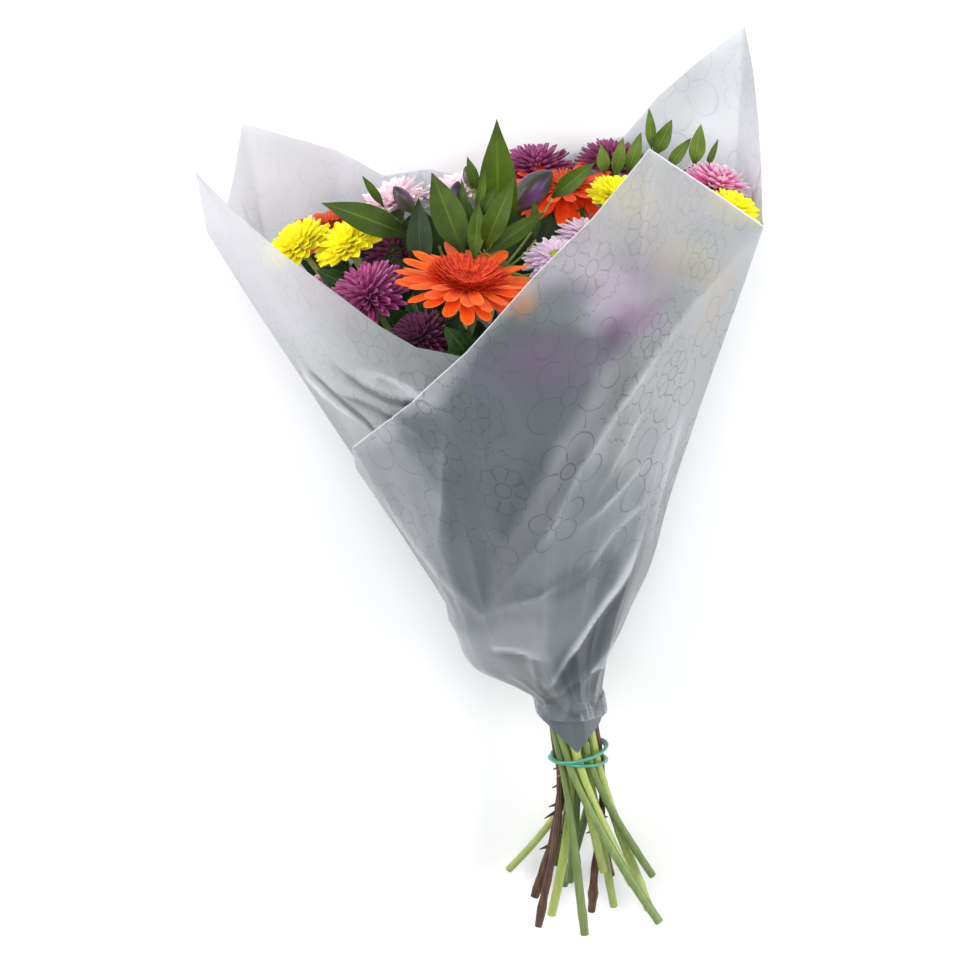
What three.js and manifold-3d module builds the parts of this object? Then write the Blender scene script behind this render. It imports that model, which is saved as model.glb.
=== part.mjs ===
// A mixed flower bouquet in its frosted film wrapper, lying on its back.
// Millimetres, +Z up: the heads point to +Y, the cut stems to -Y, and z = 0 is the surface it lies on.
import * as THREE from "three";
import { mergeVertices } from "three/addons/utils/BufferGeometryUtils.js";
import Module from "manifold-3d";

const wasm = await Module();
wasm.setup();

// Driving dimensions
const TIE = [57, -155, 44]; // centre of the bundle where the rubber band holds it
const OUTER_STEMS = 11;
const BUNDLE_RADIUS = 14; // outside of the outer ring of stems at the tie
const INNER_STEMS = 5;
const INNER_RING = 5.2;
const LEAN = -0.16; // sideways lean of the bundle at the tie, x for each y
const TWIST_ABOVE = 0.012; // turn of the stems per millimetre above the tie
const BEND_BELOW = 28; // how far below the tie the stems still run with the bundle
const RISE_ABOVE = 80; // handle of a stem's curve above the tie
const HEAD_APPROACH = 70; // handle of the same curve under its head
const STEM_SIDES = 6;
const STEPS_BELOW = 4;
const STEPS_ABOVE = 8;
const STEPS_FORK = 4;
const FORKS = [0.55, 0.08]; // share of the way up where a first side stalk leaves, and step to the next
const STALK_SHARE = 0.62; // thickness of a side stalk against its stem
const TIP_SHARE = 0.4; // thickness of a bare stem's tip against the stem
const LEAF_ALONG = 0.8; // how much of a leaf's length runs along its stem
const LEAF_OUT = 0.5; // and how much leads away from it
const CUP = 0.26; // radius of the green cup under a head, against the head's
const BUD_CUP = 0.5; // the same for a bud
const CUP_DEPTH = 0.8; // depth of a cup against its radius
const SPUR = { foot: 0.9, point: 0.35, lean: -0.35 }; // thorns: radii, and lean towards the cut end

const GAP = 0.3; // clearance between pieces that touch

const FILM = 0.8; // thickness of the wrapper
const THROAT_RADIUS = 17; // outside of the film's first layer under the tape
const LAYER_STEP = 3; // how far the second layer of film stands off the first
const THROAT_TOP = -116; // y of the tape's upper edge
const THROAT_END = -129; // y where the film ends under the tape
const LAP_LIFT = [1.5, 0.1]; // turns before the lap, in radians, where the second layer lifts off and is off
// Where the film bunches out over the tape: centre, half width and half height of two rings
const SHOULDERS = [
  { centre: [33, -95, 44], width: 39.5, height: 32 },
  { centre: [36, -78, 46], width: 45, height: 38 },
];
// The pointed corner of film below the tape: length, half its spread in radians, how much closer it lies
const FOLD = { length: 19, spread: 0.9, tuck: 2 };
const FILM_ROWS = [2, 2]; // rows of facets from the shoulders to the knee, and on to the rim
const KNEE = 0.7; // where a column of film has its knee if none is given
const FILM_PITCH = 34; // longest step along the rim

const TAPE_WIDTH = 11;
const TAPE_THICKNESS = 0.6;
const BAND = { radius: 16.6, swing: 1.25, spread: 6, width: 3, thickness: 2 }; // rubber band, two turns
const BAND_CROSSING = THREE.MathUtils.degToRad(130); // where its turns cross

// The wrapper's rim from its hidden inner end, round the front wing, the back and the tall corner,
// then over the front again to the outer end. A second point is the knee where the film under it
// stops widening and stands up.
const RIM = [
  [[67, 128, 147]], [[32, 116, 161]], [[-8, 110, 168]], // inner layer under the front flap
  [[-34, 114, 164]], [[-53, 124, 157]], [[-82, 143, 142]], [[-105, 157, 128]], [[-133, 177, 108]],
  [[-155, 194, 88]], // left corner
  [[-151, 156, 66]], [[-143, 158, 52]], [[-138, 180, 36], [-124, 140, 36]],
  [[-133, 210, 22], [-120, 140, 20]], // back left corner
  [[-115, 203, 12], [-104, 135, 6]], [[-80, 191, 4], [-74, 130, 0]],
  [[-55, 176, -4]], [[-30, 180, -8]], [[-7, 175, -8]], [[23, 182, -8]], [[48, 187, -8]],
  [[68, 195, -6]], [[82, 199, -2], [76, 150, -4]],
  [[100, 222, 4], [98, 152, 0]], [[123, 244, 12], [122, 152, 8]],
  [[147, 264.6, 24], [141, 152, 24]], // tall right corner
  [[151, 242, 36], [147, 154, 40]], [[153.5, 218, 48], [149.5, 156, 54]], [[155, 194, 62], [151, 158, 68]],
  [[155, 164, 84]], // right corner of the front flap
  [[121, 196, 140]],
  [[88, 225, 186]], // top corner of the front flap
  [[58, 189, 190]], [[28, 158, 190]], [[-7, 116, 181]], [[-38, 79, 144]], [[-71, 42, 98]],
  [[-70, 22, 66]], // outer end, just past the left side
];
const RIM_HUB = [14, 84]; // x and z that the rim turns about

const COLOURS = {
  film: 0xd6d8de, tape: 0xe8ecef, band: 0x3fbf95,
  orange: 0xf4570f, purple: 0x8a2482, yellow: 0xf3e011, pink: 0xe86fb4, lilac: 0xd9bfdc,
  bud: 0x4d2a5a, green: 0x4d7a26, light: 0xa3bf4a, dark: 0x3f6428, brown: 0x5e3a28,
};

// Flower heads and buds: centre, radius and, where it doesn't follow the fan of the stems, the way
// it faces. A bud's place is its foot.
const FAN = [40, -60, 44];
const HEADS = {
  gerbera_front: { kind: "gerbera", at: [-7, 147, 150], radius: 36.5, facing: [0.12, 0.94, 0.32] },
  gerbera_left: { kind: "gerbera", at: [-91, 156, 44], radius: 29, facing: [-0.25, 0.96, 0.12] },
  gerbera_right: { kind: "gerbera", at: [46, 176, 52], radius: 25, facing: [0.05, 0.98, 0.18] },
  purple_left_a: { kind: "purple", at: [-60, 131, 115], radius: 20 },
  purple_left_b: { kind: "purple", at: [-47, 146, 74], radius: 19 },
  purple_left_c: { kind: "purple", at: [-32, 112, 135], radius: 17 },
  purple_back_a: { kind: "purple", at: [32, 185, 26], radius: 19 },
  purple_back_b: { kind: "purple", at: [74, 188, 26], radius: 18 },
  yellow_left_a: { kind: "yellow", at: [-72, 157, 98], radius: 17 },
  yellow_left_b: { kind: "yellow", at: [-99, 154, 88], radius: 17 },
  yellow_right_a: { kind: "yellow", at: [75, 180, 80], radius: 15 },
  yellow_right_b: { kind: "yellow", at: [138, 173, 84], radius: 14 },
  yellow_right_c: { kind: "yellow", at: [110, 146, 98], radius: 17 },
  pink_left_a: { kind: "pink", at: [-48, 168, 35], radius: 18 },
  pink_left_b: { kind: "pink", at: [-90, 129, 97.5], radius: 13 },
  pink_left_c: { kind: "pink", at: [-14, 172, 30], radius: 17 },
  pink_right_a: { kind: "pink", at: [131, 180, 50], radius: 17 },
  pink_right_b: { kind: "pink", at: [104, 166, 58], radius: 15 },
  lilac_right_a: { kind: "lilac", at: [42, 152, 114], radius: 18 },
  lilac_right_b: { kind: "lilac", at: [58, 160, 88], radius: 16 },
  lilac_right_c: { kind: "lilac", at: [67, 140, 140], radius: 18 },
  lilac_right_d: { kind: "lilac", at: [87, 121, 108], radius: 18 },
  bud_a: { kind: "bud", at: [17, 175, 96], radius: 6.5, facing: [0.7, 0.7, 0.05] },
  bud_b: { kind: "bud", at: [-14, 172, 96], radius: 5, facing: [0.1, 0.95, -0.05] },
  bud_c: { kind: "bud", at: [-36, 172, 86], radius: 5.5, facing: [-0.6, 0.75, -0.1] },
  bud_d: { kind: "bud", at: [-2, 174, 124], radius: 5, facing: [0.6, 0.75, 0.05] },
  bud_e: { kind: "bud", at: [-4, 184, 80], radius: 4.5, facing: [-0.3, 0.95, 0] },
};

// Stems: ring and place round it at the tie, cut end, thickness, colour, and the heads they carry,
// the first at the stem's own end unless it has a tip. A leaf is: share of the way up from the tape,
// then its tip or its length and turn round the stem, half width and shape. A spur is: share of the
// way from the cut end to the tie, turn from +X towards +Z in degrees, and reach from the stem's middle.
const STEMS = {
  stem_gerbera_front: { ring: "outer", slot: 0, end: [100, -262, 12], radius: 2.7, colour: "light",
    heads: ["gerbera_front"] },
  stem_purple_left: { ring: "outer", slot: 1, end: [101, -235, 28], radius: 2.1, colour: "green",
    heads: ["purple_left_a", "purple_left_b", "purple_left_c"],
    leaves: [[0.3, [44, 0], 11, "lobed"], [0.52, [40, -60], 10, "lobed"], [0.7, [34, 100], 9, "lobed"]] },
  stem_yellow_left: { ring: "outer", slot: 2, end: [89, -238, 34], radius: 2.5, colour: "light",
    heads: ["yellow_left_a", "yellow_left_b"],
    leaves: [[0.4, [40, -20], 10, "lobed"], [0.62, [36, -70], 9, "lobed"]] },
  stem_gerbera_left: { ring: "outer", slot: 3, end: [104, -252, 60], radius: 2.4, colour: "green",
    heads: ["gerbera_left"] },
  stem_pink_left: { ring: "outer", slot: 4, end: [61, -262, 54], radius: 2.3, colour: "green",
    heads: ["pink_left_a", "pink_left_b", "pink_left_c"],
    leaves: [[0.3, [42, 50], 10, "lobed"], [0.6, [36, -60], 9, "lobed"]] },
  branch_back: { ring: "outer", slot: 5, end: [34, -259, 49], radius: 2.1, colour: "brown",
    tip: [-2, 158, 14],
    leaves: [[0.5, [32, 60], 6, "twig"], [0.62, [32, -60], 6, "twig"], [0.74, [32, 60], 6, "twig"],
      [0.84, [30, -60], 6, "twig"], [0.93, [28, 60], 5.5, "twig"]] },
  branch_right: { ring: "outer", slot: 6, end: [32, -245, 37], radius: 2.3, colour: "brown",
    tip: [98, 206, 44], spurs: [[0.32, 170, 5], [0.5, 150, 5.5], [0.78, 175, 5]],
    leaves: [[0.84, [64, 195, 50], 4.5, "twig"], [0.88, [75, 200, 50], 4.5, "twig"],
      [0.92, [85, 205, 50], 4.5, "twig"], [0.95, [91, 220, 54], 3.5, "twig"],
      [0.97, [103, 222, 50], 5, "twig"], [0.93, [116, 212, 48], 5.5, "twig"],
      [0.9, [128, 203, 42], 4, "twig"]] },
  stem_pink_right: { ring: "outer", slot: 7, end: [44, -227, 32], radius: 2.1, colour: "green",
    heads: ["pink_right_a", "pink_right_b"],
    leaves: [[0.35, [40, -40], 10, "lobed"], [0.6, [34, 60], 9, "lobed"]] },
  stem_yellow_right: { ring: "outer", slot: 8, end: [17, -239, 8], radius: 2, colour: "light",
    heads: ["yellow_right_c", "yellow_right_a", "yellow_right_b"],
    leaves: [[0.35, [40, 50], 10, "lobed"], [0.6, [36, -60], 9, "lobed"]] },
  stem_lilac_right: { ring: "outer", slot: 9, end: [50, -250, 4], radius: 2.2, colour: "green",
    heads: ["lilac_right_c", "lilac_right_a", "lilac_right_b", "lilac_right_d"],
    leaves: [[0.3, [42, 40], 10, "lobed"], [0.5, [38, -50], 10, "lobed"]] },
  branch_front: { ring: "outer", slot: 10, end: [66, -262, 16], radius: 2.2, colour: "brown",
    tip: [22, 122, 140], spurs: [[0.5, -20, 5]],
    leaves: [[0.55, [34, 60], 7, "twig"], [0.66, [34, -60], 7, "twig"], [0.78, [32, 60], 7, "twig"],
      [0.88, [30, -60], 7, "twig"], [0.95, [6, 122, 152], 7, "twig"], [0.97, [38, 128, 156], 7, "twig"]] },
  stem_alstroemeria_centre: { ring: "inner", slot: 0, end: [79, -258, 18], radius: 2.1, colour: "light",
    tip: [9, 164, 99], heads: ["bud_a", "bud_d", "bud_e"], forks: [0.86, 0.04],
    leaves: [[0.97, [9, 228, 118], 11, "lance"], [0.93, [36, 176, 118], 5, "lance"],
      [0.99, [64, 202, 122], 5, "lance"], [0.99, [26, 204, 130], 4, "lance"],
      [0.9, [-2, 196, 114], 4, "lance"]] },
  stem_alstroemeria_left: { ring: "inner", slot: 1, end: [72, -226, 46], radius: 2.2, colour: "light",
    tip: [-22, 156, 101], heads: ["bud_b", "bud_c"], forks: [0.86, 0.04],
    leaves: [[0.97, [-26, 198, 112], 9.5, "lance"], [0.98, [-85, 180, 106], 8, "hanging"],
      [0.9, [-34, 178, 96], 9, "lance"], [0.95, [-58, 190, 86], 3, "lance"]] },
  stem_gerbera_right: { ring: "inner", slot: 2, end: [42, -258, 32], radius: 2.45, colour: "light",
    heads: ["gerbera_right"] },
  stem_purple_back: { ring: "inner", slot: 3, end: [53, -243, 16], radius: 2.3, colour: "dark",
    heads: ["purple_back_a", "purple_back_b"], leaves: [[0.45, [40, 60], 10, "lobed"]] },
  branch_side: { ring: "inner", slot: 4, end: [78, -243, 6], radius: 1.7, colour: "brown",
    tip: [98, 140, 62],
    leaves: [[0.6, [30, 60], 6, "twig"], [0.72, [30, -60], 6, "twig"], [0.84, [28, 60], 6, "twig"],
      [0.94, [28, -60], 6, "twig"]] },
};

// Leaf shapes: half widths along the blade as shares of the widest, and how the blade is held.
const LEAVES = {
  lance: { widths: [0.55, 0.95, 1, 0.62], up: [0, 0.3, 1], arch: 0.06, rib: 1.4, trough: 0.25 },
  hanging: { widths: [0.5, 0.95, 1, 0.6], up: [0, 0.3, 1], arch: 0.16, rib: 1.4, trough: 0.2 },
  lobed: { widths: [0.25, 0.75, 0.45, 1, 0.55, 0.85, 0.4], up: [0, 0.3, 1], arch: 0.08, rib: 1.6,
    trough: 0.1 },
  twig: { widths: [0.7, 1, 0.7], up: [0, 0.2, 1], arch: 0.05, rib: 1.2, trough: 0.2 },
};

const vector = (p) => new THREE.Vector3(p[0], p[1], p[2]);
const around = (angle) => [Math.cos(angle), Math.sin(angle)];

// Closed meshes and joins
function polyhedron(points, faces) {
  const geometry = new THREE.BufferGeometry();
  const numbers = points.flatMap((p) => [p.x, p.y, p.z]);
  geometry.setAttribute("position", new THREE.Float32BufferAttribute(numbers, 3));
  geometry.setIndex(faces.flat());
  return geometry;
}

function toSolid(geometry) {
  const merged = mergeVertices(geometry, 1e-4);
  return new wasm.Manifold(new wasm.Mesh({
    numProp: 3,
    vertProperties: Float32Array.from(merged.getAttribute("position").array),
    triVerts: Uint32Array.from(merged.getIndex().array),
  }));
}

function join(geometries) {
  if (geometries.length === 1) return geometries[0];
  const mesh = geometries.map(toSolid).reduce((all, one) => all.add(one)).getMesh();
  const geometry = new THREE.BufferGeometry();
  geometry.setAttribute("position", new THREE.BufferAttribute(mesh.vertProperties, 3));
  geometry.setIndex(new THREE.BufferAttribute(mesh.triVerts, 1));
  return geometry;
}

// A closed round rod through a row of points; radius(i) gives its thickness at each of them.
function rod(row, radius, sides) {
  const points = [];
  const faces = [];
  const last = row.length - 1;
  const ahead = (i) => row[Math.min(i + 1, last)].clone().sub(row[Math.max(i - 1, 0)]).normalize();
  const across = Math.abs(ahead(0).z) > 0.9 ? new THREE.Vector3(1, 0, 0) : new THREE.Vector3(0, 0, 1);
  row.forEach((centre, i) => {
    const tangent = ahead(i);
    across.addScaledVector(tangent, -across.dot(tangent)).normalize();
    const third = new THREE.Vector3().crossVectors(tangent, across);
    for (let j = 0; j < sides; j++) {
      const [c, s] = around((2 * Math.PI * j) / sides);
      const point = centre.clone().addScaledVector(across, radius(i) * c);
      points.push(point.addScaledVector(third, radius(i) * s));
    }
  });
  for (let i = 0; i < last; i++) {
    for (let j = 0; j < sides; j++) {
      const a = i * sides + j;
      const b = i * sides + ((j + 1) % sides);
      faces.push([a, b, b + sides], [a, b + sides, a + sides]);
    }
  }
  const end = last * sides;
  for (let j = 1; j < sides - 1; j++) {
    faces.push([0, j + 1, j], [end, end + j, end + j + 1]);
  }
  return polyhedron(points, faces);
}

// A leaf blade from root to tip: half widths at even steps, a raised midrib and thin edges.
function blade(root, tip, up, halfWidths, { arch = 0.1, rib = 1.2, trough = 0.25 } = {}) {
  const start = vector(root);
  const end = vector(tip);
  const along = end.clone().sub(start);
  const side = new THREE.Vector3().crossVectors(along, vector(up)).normalize();
  const top = new THREE.Vector3().crossVectors(side, along).normalize();
  const spine = new THREE.QuadraticBezierCurve3(start,
    start.clone().addScaledVector(along, 0.5).addScaledVector(top, arch * 2 * along.length()), end);
  const points = [start];
  const faces = [];
  const count = halfWidths.length;
  halfWidths.forEach((w, i) => {
    const centre = spine.getPoint((i + 1) / (count + 1));
    const lift = trough * w;
    points.push(
      centre.clone().addScaledVector(side, -w).addScaledVector(top, lift),
      centre.clone().addScaledVector(top, rib / 2),
      centre.clone().addScaledVector(side, w).addScaledVector(top, lift),
      centre.clone().addScaledVector(top, -rib / 2),
    );
  });
  points.push(end);
  const last = points.length - 1;
  for (let j = 0; j < 4; j++) {
    const k = (j + 1) % 4;
    faces.push([0, 1 + k, 1 + j], [last, last - 4 + j, last - 4 + k]);
    for (let i = 0; i < count - 1; i++) {
      const a = 1 + 4 * i + j;
      const b = 1 + 4 * i + k;
      faces.push([a, b + 4, a + 4], [a, b, b + 4]);
    }
  }
  return polyhedron(points, faces);
}

// A flower head as one closed surface. Rings of petals stand out of a small dome, each ring half a
// pitch round from the one below. roots gives the dome's rings (radius, height), and each layer's
// outline gives one side of a petal from root to tip (distance, half width, height).
function rosette({ petals, roots, layers, base, crown, cap }, radius) {
  const pitch = (2 * Math.PI) / petals;
  const points = [];
  const faces = [];
  const place = (angle, distance, sideways, height) => {
    const [c, s] = around(angle);
    points.push(new THREE.Vector3(distance * c - sideways * s, distance * s + sideways * c, height)
      .multiplyScalar(radius));
    return points.length - 1;
  };
  const rings = roots.map(([distance, height], q) => Array.from({ length: petals },
    (_, i) => place((i + (q - 1) / 2) * pitch, distance, 0, height)));
  layers.forEach((outline, k) => {
    for (let i = 0; i < petals; i++) {
      const angle = (i + (k + 1) / 2) * pitch;
      const left = outline.map(([d, w, h]) => place(angle, d, -w, h));
      const right = outline.map(([d, w, h]) => place(angle, d, w, h)).reverse();
      const edge = [rings[k + 1][i], ...left, ...right, rings[k + 1][(i + 1) % petals]];
      const under = rings[k][(i + 1) % petals];
      const over = rings[k + 2][i];
      for (let e = 0; e < edge.length - 1; e++) {
        faces.push([over, edge[e], edge[e + 1]], [under, edge[e + 1], edge[e]]);
      }
    }
  });
  const low = place(0, 0, 0, base);
  const high = place(0, 0, 0, crown);
  const [top, beforeTop] = [rings[rings.length - 1], rings[rings.length - 2]];
  const collar = cap ? Array.from({ length: petals },
    (_, i) => place((i + layers.length / 2) * pitch, cap[0], 0, cap[1])) : null;
  for (let i = 0; i < petals; i++) {
    const next = (i + 1) % petals;
    faces.push([low, rings[1][i], rings[0][i]], [low, rings[0][next], rings[1][i]]);
    if (!collar) {
      faces.push([high, beforeTop[i], top[i]], [high, top[i], beforeTop[next]]);
      continue;
    }
    faces.push([beforeTop[i], top[i], collar[i]], [top[i], beforeTop[next], collar[i]]);
    faces.push([beforeTop[next], collar[next], collar[i]], [high, collar[i], collar[next]]);
  }
  return polyhedron(points, faces);
}

const HEAD_KINDS = {
  gerbera: { colour: "orange", petals: 18, base: -0.16, crown: 0.13, cap: [0.2, 0.15],
    roots: [[0.2, -0.12], [0.26, -0.05], [0.3, 0.01], [0.29, 0.06], [0.27, 0.1]],
    layers: [[[0.78, 0.11, -0.08], [0.97, 0.06, -0.14]], [[0.72, 0.1, 0.02], [0.9, 0.055, -0.02]],
      [[0.46, 0.035, 0.15]]] },
  purple: { colour: "purple", petals: 12, base: -0.24, crown: 0.4,
    roots: [[0.3, -0.18], [0.38, -0.08], [0.42, 0.03], [0.38, 0.13], [0.3, 0.23], [0.2, 0.32]],
    layers: [[[1, 0.15, -0.16]], [[0.94, 0.14, 0.14]], [[0.78, 0.12, 0.42]], [[0.52, 0.09, 0.6]]] },
  yellow: { colour: "yellow", petals: 12, base: -0.24, crown: 0.36,
    roots: [[0.3, -0.18], [0.38, -0.08], [0.42, 0.03], [0.38, 0.13], [0.3, 0.23], [0.2, 0.32]],
    layers: [[[1, 0.19, -0.12]], [[0.92, 0.17, 0.16]], [[0.74, 0.14, 0.38]], [[0.48, 0.1, 0.52]]] },
  pink: { colour: "pink", petals: 12, base: -0.24, crown: 0.36,
    roots: [[0.3, -0.18], [0.38, -0.08], [0.42, 0.03], [0.38, 0.13], [0.3, 0.23], [0.2, 0.32]],
    layers: [[[1, 0.14, -0.1]], [[0.95, 0.13, 0.18]], [[0.78, 0.11, 0.4]], [[0.5, 0.08, 0.52]]] },
  lilac: { colour: "lilac", petals: 12, base: -0.24, crown: 0.22,
    roots: [[0.3, -0.18], [0.38, -0.08], [0.42, 0.03], [0.38, 0.12], [0.3, 0.18]],
    layers: [[[1, 0.17, -0.28]], [[0.94, 0.16, 0.06]], [[0.68, 0.13, 0.3]]] },
};

// An alstroemeria bud: six long folded petals closed round each other, from its foot.
const BUD = { sides: 6, length: 4.2, rings: [[0, 0.35], [0.2, 0.8], [0.5, 1], [0.78, 0.85], [1, 0.3]] };

function budShape(radius) {
  const row = BUD.rings.map(([share]) => new THREE.Vector3(0, 0, share * BUD.length * radius));
  return rod(row, (i) => BUD.rings[i][1] * radius, BUD.sides);
}

function facingOf(head) {
  return (head.facing ? vector(head.facing) : vector(head.at).sub(vector(FAN))).normalize();
}

function seatOf(head) {
  const base = head.kind === "bud" ? 0 : HEAD_KINDS[head.kind].base;
  return vector(head.at).addScaledVector(facingOf(head), base * head.radius - GAP);
}

// The stem's route: slightly bowed from its cut end to the tie, then straight past the tape and
// in one sweep up to what it carries.
function slotOf({ ring, slot, radius }) {
  const [count, reach, first] = ring === "outer"
    ? [OUTER_STEMS, BUNDLE_RADIUS - radius, 25]
    : [INNER_STEMS, INNER_RING, 36];
  const [c, s] = around(THREE.MathUtils.degToRad(first + (360 * slot) / count));
  const offset = [reach * c, reach * s];
  return { offset, point: new THREE.Vector3(TIE[0] + offset[0], TIE[1], TIE[2] + offset[1]) };
}

function stemCurves(stem) {
  const { offset, point } = slotOf(stem);
  const rise = new THREE.Vector3(LEAN - TWIST_ABOVE * offset[1], 1, TWIST_ABOVE * offset[0]);
  const tape = point.clone().addScaledVector(rise, THROAT_TOP - TIE[1] + 4);
  const head = !stem.tip && HEADS[stem.heads[0]];
  const goal = head ? seatOf(head) : vector(stem.tip);
  const arrive = head ? facingOf(head) : goal.clone().sub(vector(FAN)).normalize();
  return {
    below: new THREE.QuadraticBezierCurve3(vector(stem.end),
      point.clone().addScaledVector(rise, -BEND_BELOW), point),
    above: new THREE.CubicBezierCurve3(tape, tape.clone().addScaledVector(rise, RISE_ABOVE),
      goal.clone().addScaledVector(arrive, -HEAD_APPROACH), goal),
  };
}

// The last step of a stem or stalk under a head widens into the green cup that holds the petals.
function stalk(row, thickness, head) {
  if (!head) return rod(row, (i) => (i === row.length - 1 ? TIP_SHARE : 1) * thickness, STEM_SIDES);
  const cup = (head.kind === "bud" ? BUD_CUP : CUP) * head.radius;
  const seat = row[row.length - 1];
  const neck = seat.clone().addScaledVector(facingOf(head), -CUP_DEPTH * cup);
  return rod([...row.slice(0, -1), neck, seat],
    (i) => (i === row.length ? cup : thickness), STEM_SIDES);
}

// Where a leaf's tip lies: as given, or from its length and its turn round the stem, measured from
// the outside of the bouquet.
function leafTip(above, share, spec) {
  if (spec.length === 3) return spec;
  const [length, turn] = spec;
  const root = above.getPoint(share);
  const along = above.getTangent(share);
  const outward = root.clone().sub(new THREE.Vector3(FAN[0], root.y, FAN[2]));
  outward.addScaledVector(along, -outward.dot(along)).normalize();
  const round = new THREE.Vector3().crossVectors(along, outward);
  const [c, s] = around(THREE.MathUtils.degToRad(turn));
  const spread = outward.multiplyScalar(c).addScaledVector(round, s);
  root.addScaledVector(along, LEAF_ALONG * length);
  return root.addScaledVector(spread, LEAF_OUT * length).toArray();
}

function stemShape(stem) {
  const { below, above } = stemCurves(stem);
  const row = [...below.getPoints(STEPS_BELOW), ...above.getPoints(STEPS_ABOVE)];
  const main = stem.tip ? null : stem.heads[0];
  const others = stem.tip ? stem.heads ?? [] : stem.heads.slice(1);
  const [firstFork, forkStep] = stem.forks ?? FORKS;
  const pieces = [stalk(row, stem.radius, HEADS[main])];
  others.forEach((name, i) => {
    const head = HEADS[name];
    const share = firstFork + forkStep * i;
    const fork = above.getPoint(share);
    const reach = fork.distanceTo(seatOf(head)) / 3;
    const branch = new THREE.CubicBezierCurve3(fork,
      fork.clone().addScaledVector(above.getTangent(share), reach),
      seatOf(head).addScaledVector(facingOf(head), -reach), seatOf(head));
    pieces.push(stalk(branch.getPoints(STEPS_FORK), STALK_SHARE * stem.radius, head));
  });
  (stem.leaves ?? []).forEach(([share, spec, halfWidth, shape]) => {
    const form = LEAVES[shape];
    pieces.push(blade(above.getPoint(share).toArray(), leafTip(above, share, spec), form.up,
      form.widths.map((w) => w * halfWidth), form));
  });
  (stem.spurs ?? []).forEach(([share, turn, reach]) => {
    const foot = below.getPoint(share);
    const [c, s] = around(THREE.MathUtils.degToRad(turn));
    const point = foot.clone().add(new THREE.Vector3(reach * c, reach * SPUR.lean, reach * s));
    pieces.push(rod([foot, point], (i) => (i ? SPUR.point : SPUR.foot), 4));
  });
  return join(pieces);
}

// Wrapper: one long sheet wound round the bundle from its hidden inner end to its outer end. Every
// column runs from the film's lower edge through the tape and the shoulder up to the rim.
function rimColumns() {
  const columns = [];
  RIM.forEach(([rim, knee], i) => {
    const next = RIM[i + 1];
    const steps = next ? Math.ceil(vector(next[0]).distanceTo(vector(rim)) / FILM_PITCH) : 1;
    for (let k = 0; k < steps; k++) {
      const share = k / steps;
      const bent = knee && (next?.[1] || !share);
      columns.push({
        rim: share ? vector(rim).lerp(vector(next[0]), share) : vector(rim),
        knee: bent ? vector(knee).lerp(vector(share ? next[1] : knee), share) : null,
      });
    }
  });
  let turned = 0;
  let previous = null;
  return columns.map((column) => {
    const angle = Math.atan2(column.rim.z - RIM_HUB[1], column.rim.x - RIM_HUB[0]);
    if (previous !== null && angle < previous - Math.PI) turned += 2 * Math.PI;
    previous = angle;
    return { ...column, turn: angle + turned };
  });
}

const throatAxis = (y) => [TIE[0] + LEAN * (y - TIE[1]), TIE[2]];

function wrapperShape() {
  const columns = rimColumns();
  const front = 2.5 * Math.PI; // the turn of the outer layer's middle
  const lap = columns[0].turn + 2 * Math.PI;
  const rows = columns.map(({ rim, knee, turn }) => {
    const layer = LAYER_STEP * THREE.MathUtils.smoothstep(turn, lap - LAP_LIFT[0], lap - LAP_LIFT[1]);
    const [c, s] = around(turn);
    const ring = (y, width, height, centre) => new THREE.Vector3(
      centre[0] + (width + layer) * c, y, Math.max(centre[1] + (height + layer) * s, 0));
    const corner = Math.max(0, 1 - Math.abs(turn - front) / FOLD.spread);
    const low = THROAT_END - FOLD.length * corner;
    const lowRadius = THROAT_RADIUS - FOLD.tuck * corner;
    const [bunch, shoulder] = SHOULDERS.map(({ centre, width, height }) =>
      ring(centre[1], width, height, [centre[0], centre[2]]));
    const middle = knee ?? shoulder.clone().lerp(rim, KNEE);
    const run = [];
    for (let k = 1; k <= FILM_ROWS[0]; k++) run.push(shoulder.clone().lerp(middle, k / FILM_ROWS[0]));
    for (let k = 1; k <= FILM_ROWS[1]; k++) run.push(middle.clone().lerp(rim, k / FILM_ROWS[1]));
    run.forEach((p) => { p.z = Math.max(p.z, 0); });
    return [ring(low, lowRadius, lowRadius, throatAxis(low)),
      ring(THROAT_TOP, THROAT_RADIUS, THROAT_RADIUS, throatAxis(THROAT_TOP)), bunch, shoulder, ...run];
  });
  return thicken(rows, FILM);
}

// Turns a grid of outer points into a closed shell, its inner face set back by the thickness.
function thicken(rows, thickness) {
  const height = rows[0].length;
  const outer = rows.flat();
  const quads = [];
  for (let i = 0; i < rows.length - 1; i++) {
    for (let j = 0; j < height - 1; j++) {
      const a = i * height + j;
      quads.push([a, a + 1, a + height + 1], [a, a + height + 1, a + height]);
    }
  }
  const skin = polyhedron(outer, quads);
  skin.computeVertexNormals();
  const normals = skin.getAttribute("normal");
  const inner = outer.map((p, i) => p.clone().addScaledVector(
    new THREE.Vector3().fromBufferAttribute(normals, i), -thickness));
  const n = outer.length;
  const faces = [...quads, ...quads.map(([a, b, c]) => [n + a, n + c, n + b])];
  const wall = (a, b) => faces.push([a, b + n, b], [a, a + n, b + n]);
  for (let i = 0; i < rows.length - 1; i++) {
    wall((i + 1) * height, i * height);
    wall(i * height + height - 1, (i + 1) * height + height - 1);
  }
  for (let j = 0; j < height - 1; j++) {
    wall(j, j + 1);
    wall((rows.length - 1) * height + j + 1, (rows.length - 1) * height + j);
  }
  return polyhedron([...outer, ...inner], faces);
}

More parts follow.
